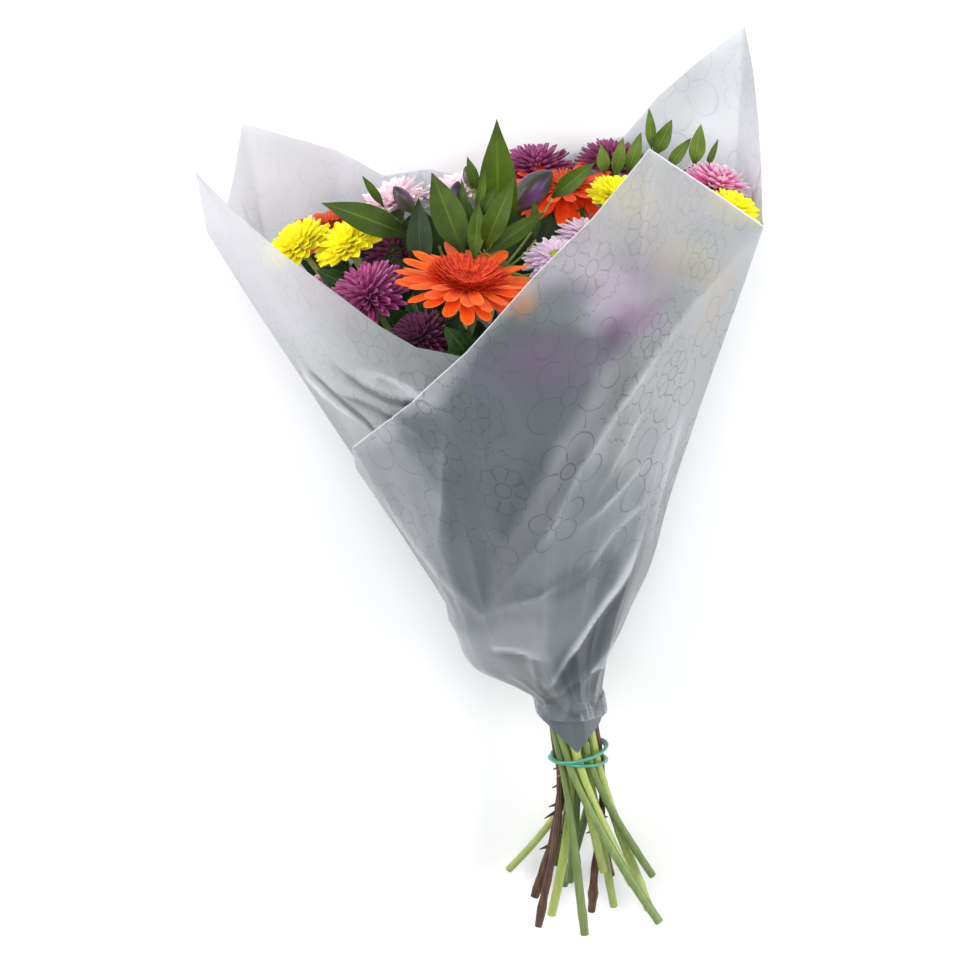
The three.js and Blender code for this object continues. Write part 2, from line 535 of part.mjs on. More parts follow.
// Tape: a flat band round the throat, over the film.
function tapeShape() {
  const inside = THROAT_RADIUS + LAYER_STEP + GAP;
  const points = [];
  const faces = [];
  const sides = 26;
  for (let i = 0; i < sides; i++) {
    const [c, s] = around((2 * Math.PI * i) / sides);
    const corners = [[0, inside], [0, inside + TAPE_THICKNESS], [1, inside + TAPE_THICKNESS], [1, inside]];
    corners.forEach(([share, r]) => {
      const y = THROAT_TOP - 1 - TAPE_WIDTH * share;
      const [x, z] = throatAxis(y);
      points.push(new THREE.Vector3(x + r * c, y, z + r * s));
    });
    for (let j = 0; j < 4; j++) {
      const a = 4 * i + j;
      const b = 4 * i + ((j + 1) % 4);
      const [c2, d] = [4 * ((i + 1) % sides) + ((j + 1) % 4), 4 * ((i + 1) % sides) + j];
      faces.push([a, c2, b], [a, d, c2]);
    }
  }
  return polyhedron(points, faces);
}

// Rubber band: one loop wound twice round the stems, its turns crossing at the front left.
function bandShape() {
  const steps = 44;
  const sides = 5;
  const points = [];
  const faces = [];
  for (let i = 0; i < steps; i++) {
    const turn = (4 * Math.PI * i) / steps;
    const half = (turn - BAND_CROSSING) / 2;
    const r = BAND.radius - BAND.swing * Math.cos(half);
    const y = TIE[1] + BAND.spread * Math.sin(half);
    const [c, s] = around(turn);
    for (let j = 0; j < sides; j++) {
      const [u, w] = around((2 * Math.PI * j) / sides);
      const reach = r + (BAND.thickness / 2) * u;
      points.push(new THREE.Vector3(TIE[0] + reach * c, y + (BAND.width / 2) * w, TIE[2] + reach * s));
    }
  }
  for (let i = 0; i < steps; i++) {
    for (let j = 0; j < sides; j++) {
      const a = i * sides + j;
      const b = i * sides + ((j + 1) % sides);
      const up = ((i + 1) % steps) * sides - i * sides;
      faces.push([a, b, b + up], [a, b + up, a + up]);
    }
  }
  return polyhedron(points, faces);
}

const bouquet = new THREE.Group();

function addPiece(name, geometry, colour, roughness = 0.6) {
  const material = new THREE.MeshStandardMaterial({ color: COLOURS[colour], roughness, metalness: 0 });
  const mesh = new THREE.Mesh(geometry, material);
  mesh.name = name;
  bouquet.add(mesh);
  return mesh;
}

for (const [name, head] of Object.entries(HEADS)) {
  const kind = HEAD_KINDS[head.kind];
  const mesh = kind ? addPiece(name, rosette(kind, head.radius), kind.colour)
    : addPiece(name, budShape(head.radius), "bud");
  mesh.position.copy(vector(head.at));
  mesh.quaternion.setFromUnitVectors(new THREE.Vector3(0, 0, 1), facingOf(head));
}
for (const [name, stem] of Object.entries(STEMS)) addPiece(name, stemShape(stem), stem.colour);
addPiece("wrapper", wrapperShape(), "film", 0.35);
addPiece("tape_band", tapeShape(), "tape", 0.2);
addPiece("rubber_band", bandShape(), "band", 0.5);

export default bouquet;
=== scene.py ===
"""A mixed flower bouquet in frosted film, lying on its back, dressed for its picture.

Sizes are in millimetres in the part's own frame, and become metres where a mesh is made.
"""
import logging
import math
from dataclasses import dataclass, field
from enum import Enum
from typing import Callable, Mapping, Sequence

import bpy
import numpy as np
from mathutils import Matrix, Vector


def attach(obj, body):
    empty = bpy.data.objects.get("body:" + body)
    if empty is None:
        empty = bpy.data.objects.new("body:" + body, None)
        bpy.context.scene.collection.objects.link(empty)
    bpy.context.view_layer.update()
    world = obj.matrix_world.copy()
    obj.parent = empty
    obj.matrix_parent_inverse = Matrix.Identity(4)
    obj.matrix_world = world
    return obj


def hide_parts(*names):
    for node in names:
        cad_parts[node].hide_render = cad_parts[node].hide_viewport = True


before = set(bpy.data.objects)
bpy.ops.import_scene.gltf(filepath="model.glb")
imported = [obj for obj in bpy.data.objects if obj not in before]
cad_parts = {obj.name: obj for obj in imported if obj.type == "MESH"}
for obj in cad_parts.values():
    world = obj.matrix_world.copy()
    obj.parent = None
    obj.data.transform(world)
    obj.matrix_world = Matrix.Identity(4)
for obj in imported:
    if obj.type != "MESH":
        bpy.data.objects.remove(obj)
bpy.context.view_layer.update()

LOG = logging.getLogger("bouquet")
MM = 0.001
MARKS = ("along", "across", "tone")
# Marks on the film: edge brings a painted highlight along its cut edge, depth is painted shade, and violet
# and amber are painted glows of the flowers behind it.
FILM_MARKS = ("edge", "depth", "violet", "amber")
SHARP = math.radians(52)

Colour = tuple[float, float, float]
Place = tuple[float, float, float]
Array = np.ndarray
Measure = float | np.ndarray
Socket = bpy.types.NodeSocket
Number = float | bpy.types.NodeSocket
Material = bpy.types.Material
Mesh = bpy.types.Mesh
Piece = bpy.types.Object

# The middle of the rubber band, where every stem passes, how far the bundle leans to the left for each
# millimetre up from there, and the point that the heads face away from.
TIE: Place = (57, -155, 44)
LEAN = -0.16
FAN: Place = (40, -60, 44)


def unit(direction: Sequence[float]) -> Array:
    """The direction at length 1."""
    row = np.asarray(direction, float)
    return row / np.linalg.norm(row)


def bezier(handles: Sequence[Sequence[float]], shares: Array) -> Array:
    """Points of a Bezier curve.

    Args:
        handles: Its control points.
        shares: Where to read it, from 0 to 1.

    Returns:
        One point a row.
    """
    layer = [np.tile(np.asarray(p, float), (len(shares), 1)) for p in handles]
    while len(layer) > 1:
        layer = [a + (b - a) * shares[:, None] for a, b in zip(layer, layer[1:])]
    return layer[0]


def point_and_way(handles: Sequence[Sequence[float]], share: float) -> tuple[Array, Array]:
    """The point of a Bezier curve at that share of it, and the way the curve runs there."""
    before, point, after = bezier(handles, np.array([share - 0.01, share, share + 0.01]))
    return point, unit(after - before)


def run_along(row: Array) -> Array:
    """How far each point of a row is from its first one, measured along it."""
    return np.concatenate([[0], np.cumsum(np.linalg.norm(np.diff(row, axis=0), axis=1))])


def smooth_step(value: Array, low: float, high: float) -> Array:
    """0 below low and 1 above high, with a smooth rise between."""
    t = np.clip((value - low) / (high - low), 0, 1)
    return t * t * (3 - 2 * t)


def level(value: Array, *stops: tuple[float, float]) -> Array:
    """The level at each value, on straight lines between stops that are given as value and level."""
    return np.interp(value, *zip(*stops))


def turned(facing: Sequence[float]) -> Matrix:
    """The rotation that takes +Z to the facing."""
    return Vector((0, 0, 1)).rotation_difference(Vector(facing)).to_matrix().to_4x4()


# Node trees


class Sketch:
    """A node tree with short calls that add its nodes and join them."""

    def __init__(self, tree: bpy.types.NodeTree) -> None:
        """Starts from an empty tree."""
        self.tree = tree
        tree.nodes.clear()

    @staticmethod
    def socket(sockets: Sequence, key: str | int) -> Socket:
        """The socket with that identifier or place."""
        return sockets[key] if isinstance(key, int) else next(s for s in sockets if s.identifier == key)

    def add(self, kind: str, inputs: Mapping | None = None, **settings: object) -> bpy.types.Node:
        """Adds a node.

        Args:
            kind: Blender's name of the node type.
            inputs: Socket identifier or place, and a value or the socket it comes from.
            **settings: Properties of the node.

        Returns:
            The node.
        """
        node = self.tree.nodes.new(kind)
        for key, value in settings.items():
            setattr(node, key, value)
        for key, value in (inputs or {}).items():
            target = self.socket(node.inputs, key)
            if isinstance(value, Socket):
                self.tree.links.new(value, target)
            else:
                target.default_value = value
        return node

    def math(self, operation: str, *values: Number, clamp: bool = False) -> Socket:
        """The result of a Math node on up to three values or sockets."""
        node = self.add("ShaderNodeMath", dict(enumerate(values)), operation=operation, use_clamp=clamp)
        return node.outputs[0]

    def times(self, first: Number, second: Number) -> Socket:
        """The product of two numbers or sockets."""
        return self.math("MULTIPLY", first, second)

    def vector(self, **axes: Number) -> Socket:
        """A vector from numbers or sockets for X, Y and Z, with 0 for an axis that isn't given."""
        return self.add("ShaderNodeCombineXYZ", axes).outputs[0]

    def axes(self, vector: Socket) -> Sequence[Socket]:
        """The X, Y and Z of a vector."""
        return self.add("ShaderNodeSeparateXYZ", {0: vector}).outputs


class Paint(Sketch):
    """A material's node tree."""

    def __init__(self, name: str) -> None:
        """Makes the material and its coordinate node.

        Args:
            name: The material's name.
        """
        self.material = bpy.data.materials.new(name)
        self.material.use_nodes = True
        super().__init__(self.material.node_tree)
        self.place = self.add("ShaderNodeTexCoord").outputs["Object"]

    def mark(self, name: str) -> Socket:
        """A number that the piece's mesh carries at each point."""
        return self.add("ShaderNodeAttribute", attribute_name=name).outputs["Fac"]

    def noise(self, scale: float, detail: float = 3, at: Socket | None = None) -> Socket:
        """Noise from 0 to 1 with that many spots a metre."""
        inputs = {"Vector": at or self.place, "Scale": scale, "Detail": detail}
        return self.add("ShaderNodeTexNoise", inputs).outputs["Fac"]

    def ramp(self, value: Socket, stops: Sequence[tuple[float, Colour]]) -> Socket:
        """A colour that depends on a number.

        Args:
            value: The number, from 0 to 1.
            stops: The numbers at which the colours are given, in rising order.

        Returns:
            The colour.
        """
        node = self.add("ShaderNodeValToRGB", {0: value})
        while len(node.color_ramp.elements) < len(stops):
            node.color_ramp.elements.new(1)
        for element, (at, colour) in zip(node.color_ramp.elements, stops):
            element.position = at
            element.color = (*colour, 1)
        return node.outputs["Color"]

    def between(self, value: Socket, low: float, high: float, out_low: float = 0.0,
                out_high: float = 1.0) -> Socket:
        """The value's way from low to high, as a number from out_low to out_high."""
        inputs = {"Value": value, "From Min": low, "From Max": high, "To Min": out_low, "To Max": out_high}
        return self.add("ShaderNodeMapRange", inputs).outputs[0]

    def mix(self, share: Number, first: Socket | Colour, second: Socket | Colour,
            kind: str = "MIX") -> Socket:
        """Mixes two colours.

        Args:
            share: The share of the second.
            first: The first colour.
            second: The second colour.
            kind: The node's way of mixing.

        Returns:
            The mixed colour.
        """
        ends = {key: (*value, 1) if isinstance(value, tuple) else value
                for key, value in (("A_Color", first), ("B_Color", second))}
        node = self.add("ShaderNodeMix", {"Factor_Float": share, **ends}, data_type="RGBA", blend_type=kind)
        return self.socket(node.outputs, "Result_Color")

    def lit(self, colour: Socket, amount: Socket) -> Socket:
        """The colour made darker or paler: its channels times the amount."""
        grey = self.add("ShaderNodeCombineColor", {0: amount, 1: amount, 2: amount}).outputs[0]
        return self.mix(1.0, colour, grey, "MULTIPLY")

    def relief(self, height: Socket, depth: float, strength: float) -> Socket:
        """The normal over a bump of that depth in millimetres."""
        inputs = {"Height": height, "Distance": depth * MM, "Strength": strength}
        return self.add("ShaderNodeBump", inputs).outputs["Normal"]

    def finish(self, shader: Mapping, lamp_share: float = 0.0) -> Material:
        """Ends the tree in a Principled shader.

        Args:
            shader: The shader's inputs.
            lamp_share: How much of a lamp's light a see-through skin lets past.

        Returns:
            The material.
        """
        surface = self.add("ShaderNodeBsdfPrincipled", shader).outputs[0]
        if lamp_share:
            shadow = self.add("ShaderNodeLightPath").outputs["Is Shadow Ray"]
            clear = self.add("ShaderNodeBsdfTransparent").outputs[0]
            inputs = {0: self.times(shadow, lamp_share), 1: surface, 2: clear}
            surface = self.add("ShaderNodeMixShader", inputs).outputs[0]
        self.add("ShaderNodeOutputMaterial", {"Surface": surface})
        return self.material


@dataclass(frozen=True)
class PetalFinish:
    """Petals: coloured from root to tip, with fine ribs along them."""

    name: str
    root: Colour
    middle: Colour
    tip: Colour
    edge: Colour
    roughness: float = 0.55
    ribs: float = 5.0
    sheen: float = 0.25

    def build(self) -> Material:
        """Makes the petals' material.

        Returns:
            The material.
        """
        paint = Paint(self.name)
        along, across, tone = (paint.mark(name) for name in MARKS)
        stops = [(0.0, self.root), (0.3, self.middle), (0.72, self.middle), (1.0, self.tip)]
        rim = paint.math("POWER", paint.math("ABSOLUTE", across), 3)
        colour = paint.mix(paint.times(rim, 0.6), paint.ramp(along, stops), self.edge)
        # The tone mark is each petal's random tone less its head's painted shade.
        colour = paint.lit(colour, paint.between(tone, -1, 1, 0.28, 1.18))
        colour = paint.lit(colour, paint.between(paint.noise(160, 4), 0.3, 0.7, 0.82, 1.12))
        rib = paint.math("SINE", paint.times(across, self.ribs * math.pi))
        grain = paint.math("MULTIPLY_ADD", paint.noise(900, 2), 0.4, rib)
        return paint.finish({"Base Color": colour, "Roughness": self.roughness,
                             "Normal": paint.relief(grain, 0.12, 0.6), "Sheen Weight": self.sheen,
                             "Specular IOR Level": 0.3})


@dataclass(frozen=True)
class LeafFinish:
    """Leaves: a midrib and parallel or branching veins on a waxy blade."""

    name: str
    blade: Colour
    vein: Colour
    veins: float = 9.0
    roughness: float = 0.4

    def build(self) -> Material:
        """Makes the leaves' material.

        Returns:
            The material.
        """
        paint = Paint(self.name)
        along, across, tone = (paint.mark(name) for name in MARKS)
        wave = paint.math("COSINE", paint.times(across, self.veins * math.pi))
        line = paint.math("POWER", paint.math("MAXIMUM", wave, 0.0), 6)
        midrib = paint.between(paint.math("ABSOLUTE", across), 0.0, 0.1, 1.0, 0.0)
        mark = paint.math("MAXIMUM", paint.times(line, 0.4), midrib, clamp=True)
        spot, dark_tip = (tuple(channel * share for channel in self.blade) for share in (0.62, 0.5))
        colour = paint.mix(paint.between(paint.noise(90, 4), 0.35, 0.65), self.blade, spot)
        colour = paint.lit(colour, paint.between(tone, 0, 1, 0.6, 1.25))
        colour = paint.mix(paint.times(mark, 0.55), colour, self.vein)
        # Painted shade: darker towards the leaf's root.
        colour = paint.lit(colour, paint.between(along, 0.0, 0.4, 0.4, 1.0))
        colour = paint.mix(paint.between(along, 0.75, 1.0, 0.0, 0.35), colour, dark_tip)
        height = paint.math("MULTIPLY_ADD", paint.noise(500, 3), 0.5, mark)
        return paint.finish({"Base Color": colour, "Roughness": self.roughness,
                             "Normal": paint.relief(height, 0.2, 0.7), "Specular IOR Level": 0.25})


@dataclass(frozen=True)
class StemFinish:
    """Stems: ridged skin, paler or darker by patches."""

    name: str
    skin: Colour
    patch: Colour
    ridge: float = 0.12
    roughness: float = 0.45
    ridges: int = 10
    stretch: Place = (1.0, 0.18, 1.0)

    def build(self) -> Material:
        """Makes the stems' material.

        Returns:
            The material.
        """
        paint = Paint(self.name)
        along_stem = paint.add("ShaderNodeMapping", {"Vector": paint.place, "Scale": self.stretch}).outputs[0]
        streak = paint.between(paint.noise(420, 4, at=along_stem), 0.34, 0.74)
        colour = paint.mix(streak, self.skin, self.patch)
        colour = paint.lit(colour, paint.between(paint.mark("tone"), 0, 1, 0.75, 1.2))
        ridge = paint.math("SINE", paint.times(paint.mark("across"), self.ridges * 2 * math.pi))
        height = paint.math("MULTIPLY_ADD", paint.noise(700, 3, at=along_stem), 1.6, ridge)
        return paint.finish({"Base Color": colour, "Roughness": self.roughness,
                             "Normal": paint.relief(height, self.ridge, 0.8), "Coat Weight": 0.08})


@dataclass(frozen=True)
class FilmFinish:
    """Frosted film with flowers in thin outline, with painted shade and glows where things lie behind it.

    The mark depth is painted shade: it picks one of the tones, from the bare film to the painted shade over
    packed leaves. The mark tone is painted light on the folds: 0 in a fold's painted shade and 1 on its
    crest, whose painted highlight is partly the film's own whitening there. The marks violet and amber are
    painted glows of the flowers behind the film, and the mark edge brings a painted highlight along the cut
    edge.
    Places are in metres, as the shader reads them.
    """

    name: str = "frosted film"
    # The bare film's tone, then ever deeper painted shade.
    tones: tuple[Colour, ...] = (
        (0.85, 0.85, 0.885), (0.7, 0.71, 0.73), (0.56, 0.58, 0.6), (0.42, 0.45, 0.475), (0.255, 0.292, 0.322))
    # Painted glows of the violet and amber flowers behind the film.
    violet: Colour = (0.36, 0.2, 0.36)
    amber: Colour = (0.9, 0.55, 0.2)
    # Painted shade in a fold, painted highlight on its crest (partly the film's own whitening), painted shade
    # on the gathered end below the tape, and a painted highlight along the cut edge.
    shaded: Colour = (0.09, 0.105, 0.12)
    shining: Colour = (0.8, 0.82, 0.84)
    neck: Colour = (0.1, 0.115, 0.135)
    cut: Colour = (0.7, 0.71, 0.73)
    line: Colour = (0.16, 0.17, 0.2)
    pen: float = 0.0004
    motifs: float = 21.5
    reaches: tuple[float, float] = (0.019, 0.032)
    inner_frill: float = 0.62

    def build(self) -> Material:
        """Makes the film's material.

        Returns:
            The material.
        """
        paint = Paint(self.name)
        place = paint.axes(paint.place)
        wide, height = place["X"], place["Y"]
        steps = len(self.tones) - 1
        # Painted shade from the depth mark, then the painted glows of the flowers behind the film.
        colour = paint.ramp(paint.mark("depth"), [(k / steps, tone) for k, tone in enumerate(self.tones)])
        colour = paint.mix(paint.mark("violet"), colour, self.violet)
        colour = paint.mix(paint.mark("amber"), colour, self.amber)
        side = paint.between(wide, -0.08, -0.02, 0.35, 1.0)
        shown = paint.times(paint.between(height, -0.055, 0.0), side)
        shown = paint.times(shown, paint.between(height, 0.05, 0.2, 1.0, 0.3))
        colour = paint.mix(paint.times(self.print(paint), paint.times(shown, 0.78)), colour, self.line)
        # Painted shade in the folds and painted highlights on their crests, from the tone mark with a little
        # noise.
        painted_fold_light = paint.math("SUBTRACT", paint.mark("tone"), 0.06)
        fold = paint.math("MULTIPLY_ADD", paint.noise(70, 2), 0.12, painted_fold_light)
        colour = paint.mix(paint.between(fold, 0.48, 0.05, 0.0, 0.85), colour, self.shaded)
        colour = paint.mix(paint.between(fold, 0.52, 0.85, 0.0, 0.8), colour, self.shining)
        # Painted shade on the gathered end below the tape.
        colour = paint.mix(paint.between(height, -0.131, -0.124, 0.75, 0.0), colour, self.neck)
        # Painted highlight along the cut edge.
        edge = paint.between(paint.mark("edge"), 0.5, 1.1, 1.0, 0.0)
        colour = paint.mix(edge, colour, self.cut)
        passed = paint.times(paint.between(edge, 0, 1, 0.76, 0.1), paint.between(fold, 0.6, 1.0, 1.0, 0.35))
        passed = paint.times(passed, paint.between(height, -0.132, -0.126, 0.6, 1.0))
        return paint.finish({"Base Color": colour, "Roughness": 0.46, "IOR": 1.3,
                             "Transmission Weight": passed, "Coat Weight": 0.6, "Coat Roughness": 0.3,
                             "Normal": paint.relief(paint.noise(42, 3), 1.4, 0.5)}, lamp_share=0.6)

    def print(self, paint: Paint) -> Socket:
        """The printed flowers, one in each cell of a Voronoi pattern on the unrolled sheet.

        Args:
            paint: The film's node tree.

        Returns:
            1 on an outline and 0 off it.
        """
        flat = paint.add("ShaderNodeUVMap", uv_map="sheet").outputs[0]
        cell = paint.add("ShaderNodeTexVoronoi", {"Vector": flat, "Scale": self.motifs, "Randomness": 0.75},
                         voronoi_dimensions="2D")
        away = paint.add("ShaderNodeVectorMath", {0: flat, 1: cell.outputs["Position"]}, operation="SUBTRACT")
        out = paint.add("ShaderNodeVectorMath", {0: away.outputs[0]}, operation="LENGTH").outputs["Value"]
        parts, chance = paint.axes(away.outputs[0]), paint.axes(cell.outputs["Color"])
        angle = paint.math("ARCTAN2", parts["Y"], parts["X"])
        turn = paint.math("ADD", angle, paint.times(chance["X"], 2 * math.pi))
        reach = paint.between(chance["Y"], 0, 1, *self.reaches)
        minus_out = paint.times(out, -1)
        motifs = []
        for petals, deep, frill in ((5, 0.5, 0.0), (8, 0.26, 0.1)):
            lobe = paint.math("ABSOLUTE", paint.math("COSINE", paint.times(turn, petals / 2)))
            size = paint.math("MULTIPLY_ADD", paint.math("POWER", lobe, 0.7), deep, 1 - deep)
            if frill:
                tooth = paint.math("ABSOLUTE", paint.math("COSINE", paint.times(turn, petals * 2.5)))
                size = paint.math("MULTIPLY_ADD", tooth, frill, size)
            outline = paint.math("ABSOLUTE", paint.math("MULTIPLY_ADD", size, reach, minus_out))
            ray = paint.times(paint.times(out, lobe), 2.0 / petals)
            share = paint.math("DIVIDE", out, reach)
            outside = paint.math("GREATER_THAN", share, self.inner_frill if frill else 1 - deep)
            inside = paint.math("LESS_THAN", share, 0.28)
            ray = paint.math("ADD", ray, paint.math("ADD", outside, inside))
            heart = paint.math("ABSOLUTE", paint.math("MULTIPLY_ADD", reach, 0.2, minus_out))
            nearest = paint.math("MINIMUM", outline, paint.math("MINIMUM", ray, heart))
            if frill:
                inner = paint.math("MULTIPLY_ADD", paint.times(size, self.inner_frill), reach, minus_out)
                nearest = paint.math("MINIMUM", nearest, paint.math("ABSOLUTE", inner))
            motifs.append(paint.between(nearest, 0.6 * self.pen, 1.6 * self.pen, 1, 0))
        frilled = paint.math("GREATER_THAN", chance["Z"], 0.38)
        return paint.math("MULTIPLY_ADD", paint.math("SUBTRACT", motifs[1], motifs[0]), frilled, motifs[0])


@dataclass(frozen=True)
class BudFinish:
    """Closed buds: green at the foot and in the furrows, purple on the folds, green all over when young."""

    name: str = "alstroemeria buds"
    ripe: tuple[tuple[float, Colour], ...] = (
        (0.12, (0.1, 0.13, 0.03)), (0.4, (0.09, 0.04, 0.07)), (0.7, (0.11, 0.02, 0.13)),
        (0.92, (0.04, 0.01, 0.05)), (1.0, (0.02, 0.01, 0.02)))
    young: tuple[tuple[float, Colour], ...] = (
        (0.1, (0.13, 0.16, 0.03)), (0.5, (0.15, 0.12, 0.06)), (0.9, (0.12, 0.07, 0.08)),
        (1.0, (0.05, 0.05, 0.02)))
    furrow: tuple[tuple[float, Colour], ...] = (
        (0.1, (0.09, 0.13, 0.03)), (0.6, (0.06, 0.075, 0.03)), (1.0, (0.025, 0.03, 0.02)))

    def build(self) -> Material:
        """Makes the buds' material.

        Returns:
            The material.
        """
        paint = Paint(self.name)
        along = paint.math("MULTIPLY_ADD", paint.noise(220, 3), 0.25, paint.mark("along"))
        across = paint.mark("across")
        rise = paint.math("MULTIPLY_ADD", paint.noise(150, 2), 1.4, across)
        deep = paint.between(rise, -0.2, 1.3, 1.0, 0.0)
        colour = paint.mix(deep, paint.ramp(along, self.ripe), paint.ramp(along, self.furrow))
        colour = paint.mix(paint.mark("tone"), colour, paint.ramp(along, self.young))
        # Painted shade in the furrows and painted light on the folds.
        colour = paint.lit(colour, paint.between(across, -1, 1, 0.55, 1.15))
        return paint.finish({"Base Color": colour, "Roughness": 0.42,
                             "Normal": paint.relief(paint.noise(600, 3), 0.1, 0.5), "Coat Weight": 0.1})


@dataclass(frozen=True)
class SmoothFinish:
    """Tape, rubber, cut ends and florets: one colour with fine mottling."""

    name: str
    colour: Colour
    spot: Colour
    roughness: float = 0.4
    alpha: float = 1.0
    scale: float = 250.0
    depth: float = 0.1
    coat: float = 0.0

    def build(self) -> Material:
        """Makes the material.

        Returns:
            The material.
        """
        paint = Paint(self.name)
        grain = paint.noise(self.scale, 4)
        colour = paint.mix(paint.between(grain, 0.35, 0.68), self.colour, self.spot)
        return paint.finish({"Base Color": colour, "Roughness": self.roughness, "Alpha": self.alpha,
                             "Coat Weight": self.coat, "Normal": paint.relief(grain, self.depth, 0.6)})


# Meshes


def show(name: str, data: bpy.types.ID) -> Piece:
    """Adds an object to the scene.

    Args:
        name: Its name.
        data: Its mesh, lamp or camera.

    Returns:
        The object.
    """
    made = bpy.data.objects.new(name, data)
    bpy.context.scene.collection.objects.link(made)
    return made


def apply(place: Matrix, points: Array) -> Array:
    """The points moved by a matrix."""
    rows = np.array(place)
    return points @ rows[:3, :3].T + rows[:3, 3]


def tube_faces(rings: int, sides: int, caps: bool) -> tuple[Array, Array]:
    """Faces of a tube of rings that turn against the clock, seen from the last one.

    Args:
        rings: How many rings of points there are.
        sides: How many points each has.
        caps: Whether two points that come after the rings close its ends. Otherwise its last ring is
            joined to its first.

    Returns:
        The corners and the faces' sizes.
    """
    index = np.arange(rings * sides).reshape(rings, sides)
    if not caps:
        index = np.vstack([index, index[:1]])
    beside = np.roll(index, -1, axis=1)
    corners = np.stack([index[:-1], beside[:-1], beside[1:], index[1:]], -1).ravel()
    sizes = np.full(len(corners) // 4, 4)
    if caps:
        low, high = (np.full(sides, rings * sides + end) for end in (0, 1))
        ends = np.stack([low, beside[0], index[0], high, index[-1], beside[-1]], -1).ravel()
        corners, sizes = np.append(corners, ends), np.append(sizes, np.full(2 * sides, 3))
    return corners, sizes


class MeshPile:
    """Collects shapes in millimetres and makes one mesh of them in metres."""

    def __init__(self) -> None:
        """Starts empty."""
        self.points: list[Array] = []
        self.corners: list[Array] = []
        self.sizes: list[Array] = []
        self.slots: list[Array] = []
        self.marks: dict[str, list[Array]] = {name: [] for name in (*MARKS, *FILM_MARKS)}
        self.count = 0

    def add(self, points: Array, corners: Array, sizes: Array, slot: int = 0,
            marks: Mapping[str, Array | float] | None = None) -> None:
        """Adds a shape.

        Args:
            points: One point a row.
            corners: The faces' point numbers, one after another.
            sizes: How many corners each face has.
            slot: The material's place in the finished mesh.
            marks: Numbers that each point carries.
        """
        self.points.append(points)
        self.corners.append(corners + self.count)
        self.sizes.append(sizes)
        self.slots.append(np.full(len(sizes), slot))
        for name, rows in self.marks.items():
            value = (marks or {}).get(name, 0.0)
            rows.append(np.broadcast_to(np.asarray(value, float), (len(points),)))
        self.count += len(points)

    def add_mesh(self, mesh: Mesh, place: Matrix | None = None, slot: int = 0,
                 tone: float | None = None) -> None:
        """Adds a mesh that Geometry Nodes made, in millimetres, and removes it.

        Args:
            mesh: The mesh.
            place: Where it goes.
            slot: The material's place in the finished mesh.
            tone: The tone to use in place of the mesh's own.
        """
        points = np.empty(len(mesh.vertices) * 3)
        mesh.vertices.foreach_get("co", points)
        points = points.reshape(-1, 3)
        if place is not None:
            points = apply(place, points)
        corners = np.empty(len(mesh.loops), int)
        mesh.loops.foreach_get("vertex_index", corners)
        sizes = np.empty(len(mesh.polygons), int)
        mesh.polygons.foreach_get("loop_total", sizes)
        marks: dict[str, Array | float] = {}
        for name in self.marks:
            if name in mesh.attributes and mesh.attributes[name].domain == "POINT":
                row = np.empty(len(points))
                mesh.attributes[name].data.foreach_get("value", row)
                marks[name] = row
        if tone is not None:
            marks["tone"] = tone
        self.add(points, corners, sizes, slot, marks)
        bpy.data.meshes.remove(mesh)

    def add_shell(self, top: Array, bottom: Array, slot: int = 0, tone: float = 0.5) -> None:
        """Adds a thin closed blade between two grids of points that share their edges.

        Args:
            top: Rows of points from root to tip, each from left to right.
            bottom: The same for the underside.
            slot: The material's place in the finished mesh.
            tone: The tone all over it.
        """
        rows, columns = top.shape[:2]
        upper = np.arange(rows * columns).reshape(rows, columns)
        lower = upper.copy()
        inner = (rows - 2) * (columns - 2)
        lower[1:-1, 1:-1] = rows * columns + np.arange(inner).reshape(rows - 2, columns - 2)
        points = np.concatenate([top.reshape(-1, 3), bottom[1:-1, 1:-1].reshape(-1, 3)])
        faces = [np.stack([grid[:-1, :-1], grid[:-1, 1:], grid[1:, 1:], grid[1:, :-1]], -1).reshape(-1, 4)
                 for grid in (upper, lower)]
        quads = np.concatenate([faces[0][:, ::-1], faces[1]])
        along = np.repeat(np.linspace(0, 1, rows)[:, None], columns, 1)
        across = np.repeat(np.linspace(-1, 1, columns)[None, :], rows, 0)
        marks = {name: np.concatenate([grid.ravel(), grid[1:-1, 1:-1].ravel()])
                 for name, grid in (("along", along), ("across", across))}
        self.add(points, quads.ravel(), np.full(len(quads), 4), slot, {**marks, "tone": tone})

    def build(self, name: str, finishes: Sequence[Material], sharp: float = SHARP) -> Piece:
        """Makes the object.

        Args:
            name: Its name.
            finishes: Its materials by slot.
            sharp: The angle past which an edge shows.

        Returns:
            The object, at the origin.
        """
        mesh = self.mesh(name, MM)
        for finish in finishes:
            mesh.materials.append(finish)
        mesh.polygons.foreach_set("material_index", np.concatenate(self.slots))
        mesh.polygons.foreach_set("use_smooth", np.ones(len(mesh.polygons), bool))
        mesh.set_sharp_from_angle(angle=sharp)
        return show(name, mesh)

    def mesh(self, name: str, scale: float = 1.0) -> Mesh:
        """The collected shapes as a bare mesh, without materials.

        Args:
            name: Its name.
            scale: What a millimetre becomes.

        Returns:
            The mesh.
        """
        mesh = bpy.data.meshes.new(name)
        points, corners, sizes = (np.concatenate(rows) for rows in (self.points, self.corners, self.sizes))
        mesh.vertices.add(len(points))
        mesh.vertices.foreach_set("co", (points * scale).ravel())
        mesh.loops.add(len(corners))
        mesh.loops.foreach_set("vertex_index", corners)
        mesh.polygons.add(len(sizes))
        mesh.polygons.foreach_set("loop_start", np.concatenate([[0], np.cumsum(sizes)[:-1]]))
        for label, rows in self.marks.items():
            mesh.attributes.new(label, "FLOAT", "POINT").data.foreach_set("value", np.concatenate(rows))
        mesh.update(calc_edges=True)
        return mesh


